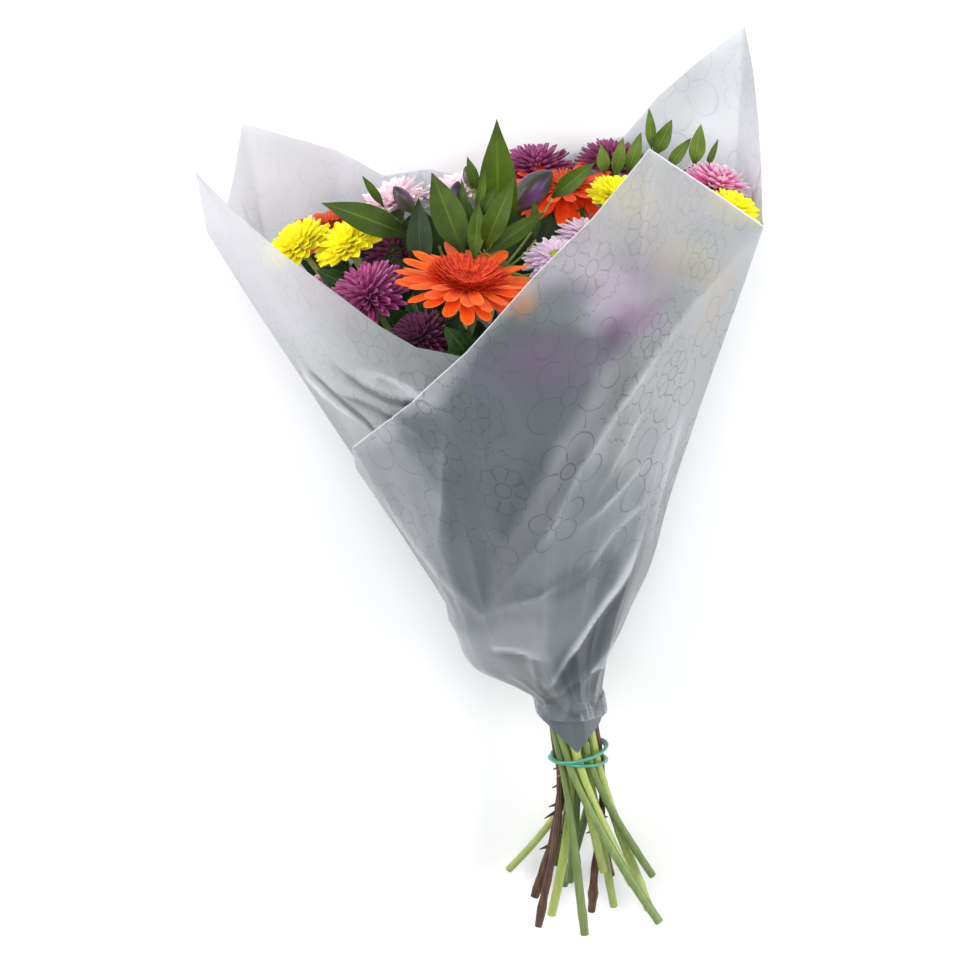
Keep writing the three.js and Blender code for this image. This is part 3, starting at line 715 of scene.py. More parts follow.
class Recipe(Sketch):
    """A Geometry Nodes tree with named inputs, baked to plain meshes."""

    def __init__(self, name: str, whole: str, number: str) -> None:
        """Makes the tree, whose inputs are its geometry, its material and the numbers named here.

        Args:
            name: The tree's name.
            whole: Its inputs that are whole numbers, with spaces between.
            number: Its inputs that are other numbers.
        """
        group = bpy.data.node_groups.new(name, "GeometryNodeTree")
        super().__init__(group)
        kinds = {"Geometry": "Geometry", "Material": "Material", **dict.fromkeys(whole.split(), "Int"),
                 **dict.fromkeys(number.split(), "Float")}
        self.keys = {label: self.declare(label, "INPUT", kind) for label, kind in kinds.items()}
        self.declare("Geometry", "OUTPUT", "Geometry")
        self.given = self.add("NodeGroupInput").outputs

    def declare(self, name: str, way: str, kind: str) -> str:
        """Adds an input or output to the tree and returns its identifier."""
        return self.tree.interface.new_socket(name, in_out=way, socket_type=f"NodeSocket{kind}").identifier

    def chance(self, kind: str, limits: Mapping, seed: Socket) -> Socket:
        """A random value of that data type within the limits, one for each instance."""
        node = self.add("FunctionNodeRandomValue", {**limits, "Seed": seed}, data_type=kind)
        return self.socket(node.outputs, "Value" if kind == "FLOAT_VECTOR" else "Value_001")

    def keep_mark(self, geometry: Socket, name: str, value: Socket, domain: str) -> Socket:
        """Stores a mark on the geometry's points or instances.

        Args:
            geometry: What carries it.
            name: The mark's name.
            value: Its value at each point or instance.
            domain: POINT or INSTANCE.

        Returns:
            The geometry with the mark.
        """
        inputs = {"Geometry": geometry, "Name": name, "Value": value}
        node = self.add("GeometryNodeStoreNamedAttribute", inputs, domain=domain, data_type="FLOAT")
        return node.outputs[0]

    def end(self, geometry: Socket) -> None:
        """Realizes the instances, gives them the material and ends the tree.

        Args:
            geometry: What the tree has made.
        """
        real = self.add("GeometryNodeRealizeInstances", {"Geometry": geometry}).outputs[0]
        dressed = self.add("GeometryNodeSetMaterial", {"Geometry": real, "Material": self.given["Material"]})
        self.add("NodeGroupOutput", {0: dressed.outputs[0]})

    def bake(self, mesh: Mesh, **values: object) -> Mesh:
        """Runs the tree on a mesh.

        Args:
            mesh: What the tree starts from.
            **values: The inputs by name.

        Returns:
            The result as a plain mesh.
        """
        bench = show("bench", mesh)
        modifier = bench.modifiers.new("recipe", "NODES")
        modifier.node_group = self.tree
        for label, value in values.items():
            modifier[self.keys[label]] = value
        graph = bpy.context.evaluated_depsgraph_get()
        made = bpy.data.meshes.new_from_object(bench.evaluated_get(graph), preserve_all_data_layers=True,
                                               depsgraph=graph)
        bench.modifiers.remove(modifier)
        bpy.data.objects.remove(bench)
        return made


class RingRecipe(Recipe):
    """A ring of petals round +Z, each turned, tilted and sized a little differently.

    The strays are how far a petal twists, tilts and turns aside at most, in shares of the spread.
    """

    strays = (("X", 1.2), ("Y", 1.0), ("Z", 0.45))

    def __init__(self) -> None:
        """Builds the tree."""
        super().__init__("petal ring", "Petals Seed", "Root Height Length Width Pitch Spread Phase")
        given = self.given
        ring = self.add("GeometryNodeMeshCircle", {"Vertices": given["Petals"], "Radius": given["Root"]})
        out = self.add("FunctionNodeAlignRotationToVector",
                       {"Vector": self.add("GeometryNodeInputPosition").outputs[0]}, axis="X", pivot_axis="Z")
        spread = given["Spread"]
        low, high = (self.vector(**{axis: self.times(spread, sign * share) for axis, share in self.strays})
                     for sign in (-1, 1))
        stray = self.chance("FLOAT_VECTOR", {"Min": low, "Max": high}, given["Seed"])
        tilt = self.vector(Y=self.times(given["Pitch"], -1.0))
        both = self.add("ShaderNodeVectorMath", {0: tilt, 1: stray}, operation="ADD").outputs[0]
        by = self.add("FunctionNodeEulerToRotation", {"Euler": both}).outputs[0]
        facing = self.add("FunctionNodeRotateRotation", {"Rotation": out.outputs[0], "Rotate By": by},
                          rotation_space="LOCAL").outputs[0]
        size = self.chance("FLOAT", {"Min_001": 0.93, "Max_001": 1.04}, self.math("ADD", given["Seed"], 1))
        scale = self.vector(X=self.times(given["Length"], size), Y=given["Width"], Z=given["Width"])
        petals = self.add("GeometryNodeInstanceOnPoints", {
            "Points": ring.outputs[0], "Instance": given["Geometry"], "Rotation": facing, "Scale": scale})
        tone = self.chance("FLOAT", {"Min_001": 0.0, "Max_001": 1.0}, self.math("ADD", given["Seed"], 2))
        toned = self.keep_mark(petals.outputs[0], "tone", tone, "INSTANCE")
        turn = self.add("FunctionNodeEulerToRotation", {"Euler": self.vector(Z=given["Phase"])}).outputs[0]
        placed = self.add("GeometryNodeTransform", {
            "Geometry": toned, "Translation": self.vector(Z=given["Height"]), "Rotation": turn})
        self.end(placed.outputs[0])


class SeedRecipe(Recipe):
    """Florets packed in a spiral over a low dome."""

    def __init__(self) -> None:
        """Builds the tree."""
        super().__init__("seed spiral", "Florets Seed", "Reach Height Dome Size")
        given = self.given
        golden_turn = math.pi * (3 - math.sqrt(5))
        index = self.add("GeometryNodeInputIndex").outputs[0]
        share = self.math("DIVIDE", self.math("ADD", index, 0.5), given["Florets"])
        out = self.times(self.math("SQRT", share), given["Reach"])
        angle = self.times(index, golden_turn)
        rise = self.math("MULTIPLY_ADD", self.math("SUBTRACT", 1.0, share), given["Dome"], given["Height"])
        place = self.vector(X=self.times(out, self.math("COSINE", angle)),
                            Y=self.times(out, self.math("SINE", angle)), Z=rise)
        dots = self.add("GeometryNodePoints", {"Count": given["Florets"], "Position": place})
        lean = self.vector(Y=self.times(share, 0.6), Z=angle)
        facing = self.add("FunctionNodeEulerToRotation", {"Euler": lean}).outputs[0]
        chance = self.chance("FLOAT", {"Min_001": 0.8, "Max_001": 1.2}, given["Seed"])
        size = self.times(given["Size"], chance)
        florets = self.add("GeometryNodeInstanceOnPoints", {
            "Points": self.socket(dots.outputs, "Geometry"), "Instance": given["Geometry"],
            "Rotation": facing, "Scale": self.vector(X=size, Y=size, Z=size)})
        self.end(self.keep_mark(florets.outputs[0], "tone", share, "INSTANCE"))


class SweepRecipe(Recipe):
    """A round rod along a line of points that carry their own thickness."""

    def __init__(self) -> None:
        """Builds the tree."""
        super().__init__("swept rod", "Sides", "Flatness")
        given = self.given
        route = self.add("GeometryNodeMeshToCurve", {"Mesh": given["Geometry"]}).outputs[0]
        ring = self.add("GeometryNodeCurvePrimitiveCircle", {"Resolution": given["Sides"], "Radius": 1.0})
        share = self.math("DIVIDE", self.add("GeometryNodeInputIndex").outputs[0], given["Sides"])
        marked = self.keep_mark(ring.outputs[0], "across", share, "POINT")
        flat = self.vector(X=given["Flatness"], Y=1.0, Z=1.0)
        profile = self.add("GeometryNodeTransform", {"Geometry": marked, "Scale": flat}).outputs[0]
        thick = self.add("GeometryNodeInputNamedAttribute", {"Name": "edge"}, data_type="FLOAT").outputs[0]
        swept = self.add("GeometryNodeCurveToMesh", {"Curve": route, "Profile Curve": profile, "Scale": thick,
                                                     "Fill Caps": True})
        self.end(swept.outputs[0])


def line_mesh(points: Array, thickness: Array, closed: bool = False) -> Mesh:
    """A mesh of one line of edges.

    Args:
        points: The line's points.
        thickness: The rod's radius at each of them, carried as the mark edge.
        closed: Whether the last point joins the first.

    Returns:
        The mesh, whose mark along runs from 0 to 1.
    """
    count = len(points)
    mesh = bpy.data.meshes.new("line")
    joins = [(i, (i + 1) % count) for i in range(count if closed else count - 1)]
    mesh.from_pydata(points.tolist(), joins, [])
    for name, row in (("edge", thickness), ("along", np.linspace(0, 1, count))):
        mesh.attributes.new(name, "FLOAT", "POINT").data.foreach_set("value", np.asarray(row, float))
    return mesh


@dataclass(frozen=True)
class PetalForm:
    """One petal, a unit long along +X and about a unit wide, facing +Z."""

    widths: tuple[float, ...]
    cup: float = 0.1
    curl: float = 0.0
    furrow: float = 0.0
    furrows: float = 2.0
    thickness: float = 0.05
    rows: int = 8
    columns: int = 5
    notch: float = 0.0

    def mesh(self) -> Mesh:
        """Makes the petal. Its widths are half widths from root to tip, at even steps.

        Returns:
            The mesh.
        """
        along = np.linspace(0, 1, self.rows)
        across = np.linspace(-1, 1, self.columns)
        half = np.interp(along, np.linspace(0, 1, len(self.widths)), self.widths)
        u, v = np.meshgrid(along, across, indexing="ij")
        x = u - self.notch * smooth_step(u, 0.8, 1) * (v * v + 0.5 * np.cos(3 * math.pi * v) - 0.5)
        y = v * half[:, None]
        z = self.cup * v * v * np.sin(math.pi * np.minimum(u + 0.25, 1) / 1.25)
        z = z + self.furrow * np.cos(self.furrows * math.pi * v) * np.sin(math.pi * np.clip(u, 0.02, 0.98))
        z = z + self.curl * u * u
        top = np.stack([x, y, z], -1)
        fade = (1 - v ** 4) * np.sin(math.pi * np.clip(u, 0.0, 1.0)) ** 0.5
        bottom = top - np.stack([np.zeros_like(u), np.zeros_like(u), self.thickness * fade], -1)
        pile = MeshPile()
        pile.add_shell(top, bottom)
        return pile.mesh("petal")


# Flower heads


class Kind(Enum):
    """The kinds of flower head."""

    GERBERA = "gerbera"
    FOLDED = "folded gerbera"
    PURPLE = "purple"
    YELLOW = "yellow"
    PINK = "pink"
    PALE = "pale pink chrysanthemum"
    LILAC = "lilac"
    BUD = "bud"


@dataclass(frozen=True)
class Ring:
    """A ring of petals, in shares of the head's radius: root and tip as (distance, height)."""

    petals: int
    root: tuple[float, float]
    tip: tuple[float, float]
    width: float
    form: str
    spread: float


@dataclass(frozen=True)
class Head:
    """A flower head or bud: what it is, where, how large and which way it faces.

    The radius is the one in the source, and share is how much of it this head has. The last field is
    painted shade on the petals, and painted light where it is below 0. Buds read it as their share of young
    green, their own colour.
    """

    kind: Kind
    at: Place
    radius: float
    facing: Place | None = None
    share: float = 1.0
    painted_shade_and_green: float = 0.0

    def looks(self) -> Array:
        """The way it faces: away from the fan's centre unless it has its own."""
        return unit(self.facing or np.subtract(self.at, FAN))


FORMS = {
    "ray": PetalForm((0.34, 0.5, 0.64, 0.77, 0.87, 0.94, 0.98, 1.0, 1.0, 0.96, 0.82, 0.3), curl=-0.03,
                     furrow=0.04, furrows=4.0, thickness=0.1, rows=13, columns=9, notch=0.012),
    "short_ray": PetalForm((0.5, 0.9, 1.0, 0.5), cup=0.4, curl=0.08, thickness=0.2, rows=5),
    "quill": PetalForm((0.5, 0.62, 0.8, 1.0, 0.94, 0.35), cup=0.9, curl=0.1, thickness=0.3, rows=7),
    "strap": PetalForm((0.5, 0.8, 1.0, 0.98, 0.8, 0.3), cup=0.35, curl=0.06, furrow=0.08, thickness=0.22,
                       rows=7, notch=0.02),
    "floret": PetalForm((0.5, 1.0, 0.6), cup=0.5, thickness=0.9, rows=4, columns=4),
}


def rings(form: str, *rows: tuple) -> tuple[Ring, ...]:
    """Rings of petals of one form, from the lowest up: count, root, tip, width and spread of each."""
    return tuple(Ring(*row[:4], form, row[4]) for row in rows)


@dataclass(frozen=True)
class Disc:
    """The florets in a head's middle: how many, and sizes in shares of the head's radius."""

    florets: int
    reach: float
    height: float
    dome: float
    size: float


@dataclass(frozen=True)
class Bloom:
    """What all heads of one kind share, in shares of the head's radius.

    Fuller is how far the petals reach. Low and high are the ends of the dome that they are rooted in.
    """

    rings: tuple[Ring, ...]
    disc: Disc
    petals: PetalFinish
    centre: SmoothFinish
    slot: str
    fuller: float = 1.0
    low: float = -0.2
    high: float = 0.3


STRAPS = rings(
    "strap", (15, (0.22, -0.1), (1.0, -0.13), 0.17, 0.14), (15, (0.22, -0.04), (0.97, 0.03), 0.17, 0.14),
    (14, (0.2, 0.02), (0.9, 0.18), 0.16, 0.14), (13, (0.18, 0.06), (0.78, 0.33), 0.15, 0.14),
    (11, (0.15, 0.1), (0.6, 0.44), 0.13, 0.15), (9, (0.11, 0.13), (0.4, 0.5), 0.11, 0.15),
    (6, (0.06, 0.15), (0.2, 0.5), 0.09, 0.14))
SMALL_EYE = Disc(20, 0.1, 0.3, 0.04, 0.035)

BLOOMS = {
    Kind.GERBERA: Bloom(
        rings("ray", (19, (0.24, -0.05), (0.99, -0.1), 0.105, 0.12),
              (20, (0.24, 0.0), (1.0, 0.06), 0.1, 0.12), (8, (0.24, 0.02), (0.95, 0.2), 0.09, 0.2))
        + rings("short_ray", (60, (0.34, 0.03), (0.58, 0.12), 0.024, 0.1),
                (60, (0.32, 0.04), (0.55, 0.17), 0.022, 0.12), (56, (0.28, 0.04), (0.49, 0.19), 0.022, 0.14),
                (50, (0.22, 0.04), (0.41, 0.17), 0.021, 0.14), (42, (0.16, 0.04), (0.33, 0.13), 0.02, 0.14)),
        Disc(190, 0.26, 0.07, 0.01, 0.026),
        PetalFinish("gerbera petals", (0.8, 0.04, 0.002), (1.0, 0.105, 0.002), (1.0, 0.16, 0.008),
                    (1.0, 0.27, 0.04), ribs=6.0, sheen=0.05),
        SmoothFinish("gerbera centre", (0.5, 0.012, 0.001), (0.9, 0.075, 0.006), 0.6, scale=420),
        "gerbera_petals", low=-0.13, high=0.05),
    Kind.FOLDED: Bloom(
        rings("ray", (15, (0.22, -0.06), (0.8, -0.62), 0.14, 0.2),
              (17, (0.24, -0.04), (1.02, -0.28), 0.13, 0.16), (17, (0.24, 0.0), (1.0, 0.08), 0.12, 0.18))
        + rings("short_ray", (40, (0.24, 0.05), (0.53, 0.15), 0.03, 0.16),
                (36, (0.18, 0.1), (0.4, 0.22), 0.028, 0.16)),
        Disc(90, 0.2, 0.1, 0.045, 0.035),
        PetalFinish("deep gerbera petals", (0.7, 0.02, 0.002), (0.95, 0.058, 0.002), (1.0, 0.1, 0.004),
                    (1.0, 0.13, 0.01), ribs=6.0, sheen=0.05),
        SmoothFinish("deep gerbera centre", (0.5, 0.03, 0.004), (0.7, 0.1, 0.01), 0.6, scale=900),
        "gerbera_petals", low=-0.13, high=0.13),
    Kind.PURPLE: Bloom(
        rings("quill", (23, (0.22, -0.12), (1.0, -0.17), 0.085, 0.13),
              (23, (0.22, -0.06), (0.99, -0.02), 0.085, 0.13),
              (22, (0.22, 0.0), (0.95, 0.14), 0.082, 0.13), (21, (0.2, 0.05), (0.86, 0.3), 0.08, 0.13),
              (19, (0.18, 0.1), (0.74, 0.43), 0.078, 0.13), (16, (0.15, 0.13), (0.57, 0.54), 0.075, 0.14),
              (12, (0.11, 0.16), (0.38, 0.59), 0.07, 0.14), (8, (0.06, 0.18), (0.19, 0.6), 0.065, 0.12)),
        Disc(26, 0.12, 0.3, 0.05, 0.04),
        PetalFinish("purple petals", (0.1, 0.0, 0.035), (0.43, 0.012, 0.19), (0.62, 0.125, 0.38),
                    (0.82, 0.42, 0.66), sheen=0.05),
        SmoothFinish("golden eye", (0.4, 0.2, 0.03), (0.55, 0.34, 0.05), 0.6, scale=900),
        "purple_petals", 1.16),
    Kind.YELLOW: Bloom(
        STRAPS, SMALL_EYE,
        PetalFinish("yellow petals", (0.95, 0.72, 0.0), (1.0, 0.9, 0.004), (1.0, 0.96, 0.03),
                    (1.0, 0.98, 0.09), sheen=0.05),
        SmoothFinish("ochre eye", (0.5, 0.3, 0.01), (0.6, 0.42, 0.02), 0.6, scale=900),
        "yellow_petals", 1.2),
    Kind.PINK: Bloom(
        STRAPS, SMALL_EYE,
        PetalFinish("pink petals", (0.6, 0.003, 0.2), (0.9, 0.08, 0.45), (1.0, 0.93, 0.93),
                    (1.0, 0.94, 0.95), sheen=0.1),
        SmoothFinish("dark pink eye", (0.4, 0.03, 0.15), (0.6, 0.1, 0.3), 0.6, scale=900),
        "pink_petals", 1.22),
    Kind.PALE: Bloom(
        STRAPS, SMALL_EYE,
        PetalFinish("pale pink petals", (0.86, 0.36, 0.56), (0.97, 0.72, 0.82), (1.0, 0.93, 0.96),
                    (1.0, 0.96, 0.98), sheen=0.15),
        SmoothFinish("pink eye", (0.6, 0.2, 0.35), (0.75, 0.4, 0.5), 0.6, scale=900),
        "pink_petals", 1.2),
    Kind.LILAC: Bloom(
        rings("strap", (20, (0.24, -0.08), (1.0, -0.27), 0.12, 0.1),
              (20, (0.24, -0.03), (0.98, -0.08), 0.12, 0.1),
              (19, (0.22, 0.02), (0.93, 0.08), 0.115, 0.1), (16, (0.2, 0.06), (0.78, 0.22), 0.1, 0.1),
              (14, (0.17, 0.09), (0.56, 0.29), 0.09, 0.12)),
        Disc(90, 0.22, 0.14, 0.06, 0.035),
        PetalFinish("lilac petals", (0.5, 0.2, 0.42), (0.82, 0.57, 0.78), (0.96, 0.84, 0.92),
                    (0.97, 0.9, 0.95), sheen=0.12),
        SmoothFinish("green eye", (0.42, 0.47, 0.03), (0.6, 0.62, 0.08), 0.6, scale=900),
        "lilac_petals", 1.1, high=0.18),
}

HEADS: dict[str, Head] = {
    "gerbera_front": Head(Kind.GERBERA, (-7, 147, 150), 36.5, (0.12, 0.96, 0.24), 1.04),
    "gerbera_left": Head(Kind.FOLDED, (-82, 157, 45), 29, (-0.25, 0.96, 0.12), 0.8),
    "gerbera_right": Head(Kind.FOLDED, (46, 180, 54), 25, (0.05, 0.98, 0.18), 1.15, -0.2),
    "purple_left_a": Head(Kind.PURPLE, (-60, 131, 115), 20, share=1.06),
    "purple_left_b": Head(Kind.PURPLE, (-47, 146, 74), 19, painted_shade_and_green=0.3),
    "purple_left_c": Head(Kind.PURPLE, (-32, 112, 135), 17, painted_shade_and_green=1.5),
    "purple_back_a": Head(Kind.PURPLE, (32, 185, 26), 19, painted_shade_and_green=0.5),
    "purple_back_b": Head(Kind.PURPLE, (74, 188, 26), 18, painted_shade_and_green=0.7),
    "yellow_left_a": Head(Kind.YELLOW, (-72, 157, 98), 17, painted_shade_and_green=-0.4),
    "yellow_left_b": Head(Kind.YELLOW, (-99, 154, 88), 17, painted_shade_and_green=-0.4),
    "yellow_right_a": Head(Kind.YELLOW, (75, 180, 80), 15, painted_shade_and_green=-0.4),
    "yellow_right_b": Head(Kind.YELLOW, (138, 173, 84), 14, painted_shade_and_green=-0.3),
    "yellow_right_c": Head(Kind.YELLOW, (110, 146, 98), 17),
    "pink_left_a": Head(Kind.PALE, (-48, 168, 35), 18, painted_shade_and_green=-0.4),
    "pink_left_b": Head(Kind.PINK, (-88, 131, 97), 13, share=0.8),
    "pink_left_c": Head(Kind.PALE, (-14, 172, 30), 17, painted_shade_and_green=-0.4),
    "pink_right_a": Head(Kind.PINK, (131, 180, 50), 17),
    "pink_right_b": Head(Kind.PINK, (104, 166, 58), 15),
    "lilac_right_a": Head(Kind.LILAC, (42, 152, 114), 18, painted_shade_and_green=-0.15),
    "lilac_right_b": Head(Kind.LILAC, (58, 160, 88), 16, painted_shade_and_green=-0.3),
    "lilac_right_c": Head(Kind.LILAC, (67, 140, 140), 18),
    "lilac_right_d": Head(Kind.LILAC, (87, 121, 108), 18),
    "bud_a": Head(Kind.BUD, (17, 175, 96), 6.5, (0.7, 0.7, 0.05), 1.25),
    "bud_b": Head(Kind.BUD, (-14, 172, 96), 5, (0.1, 0.95, -0.05)),
    "bud_c": Head(Kind.BUD, (-36, 172, 86), 5.5, (-0.6, 0.75, -0.1), 0.85, 0.2),
    "bud_d": Head(Kind.BUD, (-2, 174, 124), 5, (0.6, 0.75, 0.05), 0.95, 0.75),
    "bud_e": Head(Kind.BUD, (-4, 184, 80), 4.5, (-0.3, 0.95, 0), 0.75, 0.9),
}


@dataclass
class FlowerHeads:
    """Every flower head: rings of petals round a spiral of florets, each ring turned from the last."""

    heads: dict[str, Head] = field(default_factory=lambda: HEADS)
    ring_turn: float = 2.4
    bowl_sides: int = 20
    bowl_row: tuple[float, ...] = (0.17, 0.25, 0.26, 0.2, 0.1)

    def build(self) -> list[Piece]:
        """Makes each head and puts it in its CAD node's place.

        Returns:
            The heads.
        """
        self.rings, self.seeds = RingRecipe(), SeedRecipe()
        self.petals = {name: form.mesh() for name, form in FORMS.items()}
        finishes = {kind: [bloom.petals.build(), bloom.centre.build()] for kind, bloom in BLOOMS.items()}
        return [self.head(name, head, finishes[head.kind], 100 * number)
                for number, (name, head) in enumerate(self.heads.items()) if head.kind is not Kind.BUD]

    def head(self, name: str, head: Head, finishes: list[Material], seed: int) -> Piece:
        """Makes one head.

        Args:
            name: Its CAD node.
            head: What and where it is.
            finishes: The petals' and the centre's materials.
            seed: Its first random seed.

        Returns:
            The finished object.
        """
        bloom, pile = BLOOMS[head.kind], MeshPile()
        size = Matrix.Scale(head.radius * head.share * bloom.fuller, 4)
        place = Matrix.Translation(head.at) @ turned(head.looks()) @ size
        for number, ring in enumerate(bloom.rings):
            run, rise = np.subtract(ring.tip, ring.root)
            mesh = self.rings.bake(
                self.petals[ring.form], Petals=ring.petals, Root=ring.root[0], Height=ring.root[1],
                Length=math.hypot(run, rise), Width=ring.width, Pitch=math.atan2(rise, run),
                Spread=ring.spread, Phase=self.ring_turn * number, Seed=seed + 3 * number,
                Material=finishes[0])
            pile.add_mesh(mesh, place, slot=int(ring.form == "short_ray"))
        disc = bloom.disc
        centre = self.seeds.bake(self.petals["floret"], Florets=disc.florets, Reach=disc.reach,
                                 Height=disc.height, Dome=disc.dome, Size=disc.size, Seed=seed,
                                 Material=finishes[1])
        pile.add_mesh(centre, place, slot=1)
        self.bowl_under(pile, bloom, place)
        # Painted shade on the head's petals: it lowers their random tone, and raises it where the number is
        # below 0, as painted light.
        pile.marks["tone"] = [tone - head.painted_shade_and_green for tone in pile.marks["tone"]]
        return dress(pile.build(f"{name}_bloom", finishes), bloom.slot, name)

    def bowl_under(self, pile: MeshPile, bloom: Bloom, place: Matrix) -> None:
        """Adds the closed dome that the petals are rooted in.

        Args:
            pile: What it is added to.
            bloom: The kind of head.
            place: The head's place and size.
        """
        low, high = bloom.low, bloom.high
        angle = np.linspace(0, 2 * math.pi, self.bowl_sides, endpoint=False)
        rows = zip(self.bowl_row, (low, 0.4 * low, 0.1 * high, 0.7 * high, 0.95 * high))
        points = np.array([[reach * math.cos(a), reach * math.sin(a), height] for reach, height in rows
                           for a in angle] + [[0, 0, low], [0, 0, high]])
        corners, sizes = tube_faces(len(self.bowl_row), self.bowl_sides, caps=True)
        pile.add(apply(place, points), corners, sizes, 0, {"along": 0.1, "tone": 0.3})


def dress(piece: Piece, slot: str, *nodes: str) -> Piece:
    """Puts a finished piece in place of its CAD nodes, on the one body.

    Args:
        piece: The piece.
        slot: Not used.
        *nodes: The CAD nodes.

    Returns:
        The piece.
    """
    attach(piece, "root")
    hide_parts(*nodes)
    return piece


# Stems, leaves and buds


@dataclass(frozen=True)
class LeafForm:
    """A blade: half widths from root to tip, how it arches, folds along its midrib and ripples."""

    widths: tuple[float, ...]
    arch: float
    trough: float
    up: Place = (0, 0.3, 1)
    ripple: float = 0.0
    thickness: float = 0.5
    rows: int = 22
    columns: int = 9

    def grids(self, root: Array, tip: Array, half_width: float, seed: int) -> tuple[Array, Array]:
        """The blade's upper and under side.

        Args:
            root: Where it leaves its stem.
            tip: Its point.
            half_width: Half its widest.
            seed: Seed of its ripples.

        Returns:
            Two grids of points.
        """
        chance = np.random.default_rng(seed)
        along = tip - root
        length = np.linalg.norm(along)
        side = unit(np.cross(along, self.up))
        top = unit(np.cross(side, along))
        share = np.linspace(0, 1, self.rows)
        spine = bezier([root, root + 0.5 * along + 2 * self.arch * length * top, tip], share)
        half = np.interp(share, np.linspace(0, 1, len(self.widths)), self.widths) * half_width
        v = np.linspace(-1, 1, self.columns)
        u = share[:, None]
        lift = self.trough * half[:, None] * np.abs(v) ** 1.5
        phase = chance.uniform(0, 2 * math.pi, 4)
        slow, quick = (np.sin(2 * math.pi * pace * u + phase[k]) for k, pace in enumerate((1.6, 3.1)))
        lift = lift + self.ripple * half_width * (slow * v + 0.6 * quick * v * v)
        upper = spine[:, None] + side * (half[:, None] * v)[..., None] + top * lift[..., None]
        body = self.thickness * (1 - v ** 4) * np.sin(math.pi * np.clip(u, 0.001, 0.999)) ** 0.4
        return upper, upper - top * body[..., None]


LEAVES: dict[str, LeafForm] = {
    "lance": LeafForm((0.14, 0.34, 0.7, 0.92, 1.0, 1.0, 0.92, 0.76, 0.52, 0.25, 0.0), 0.06, 0.28,
                      ripple=0.05, rows=30, columns=13),
    "hanging": LeafForm((0.14, 0.4, 0.72, 0.94, 1.0, 0.97, 0.86, 0.68, 0.45, 0.2, 0.0), 0.16, 0.24,
                        ripple=0.06, rows=30, columns=13),
    "lobed": LeafForm((0.12, 0.2, 0.62, 0.85, 0.45, 0.55, 1.0, 0.9, 0.5, 0.6, 0.92, 0.7, 0.42, 0.5, 0.3, 0.0),
                      0.08, 0.12, ripple=0.08, rows=34),
    "filler": LeafForm((0.15, 0.7, 0.5, 1.0, 0.7, 0.95, 0.5, 0.35, 0.0), 0.1, 0.2, ripple=0.12, rows=18,
                       columns=5),
    "twig": LeafForm((0.1, 0.45, 0.8, 1.0, 1.0, 0.88, 0.66, 0.38, 0.0), 0.08, 0.25, ripple=0.05, rows=16),
}
LEAVES["dark"] = LEAVES["lance"]


@dataclass(frozen=True)
class Stem:
    """A stem, spray or branch: its place in the bundle, its cut end and what it carries.

    Each leaf has a root, a tip, its half width and its form. The root is a point, or a share of the
    stem's way up, and the tip is a point, or a length and a turn round the stem in degrees. Each spur
    has its share of the way down from the band, its turn in degrees and its length.
    """

    inner: bool
    slot: int
    end: Place
    radius: float
    skin: str
    heads: tuple[str, ...] = ()
    tip: Place | None = None
    forks: tuple[float, float] = (0.55, 0.08)
    leaves: tuple = ()
    spurs: tuple = ()


def both_ways(form: str, *rows: tuple[float, float, float]) -> tuple:
    """Leaves that stand out to one side and the other in turn: share, length and half width of each."""
    return tuple((share, (length, -60 if number % 2 else 60), half_width, form)
                 for number, (share, length, half_width) in enumerate(rows))


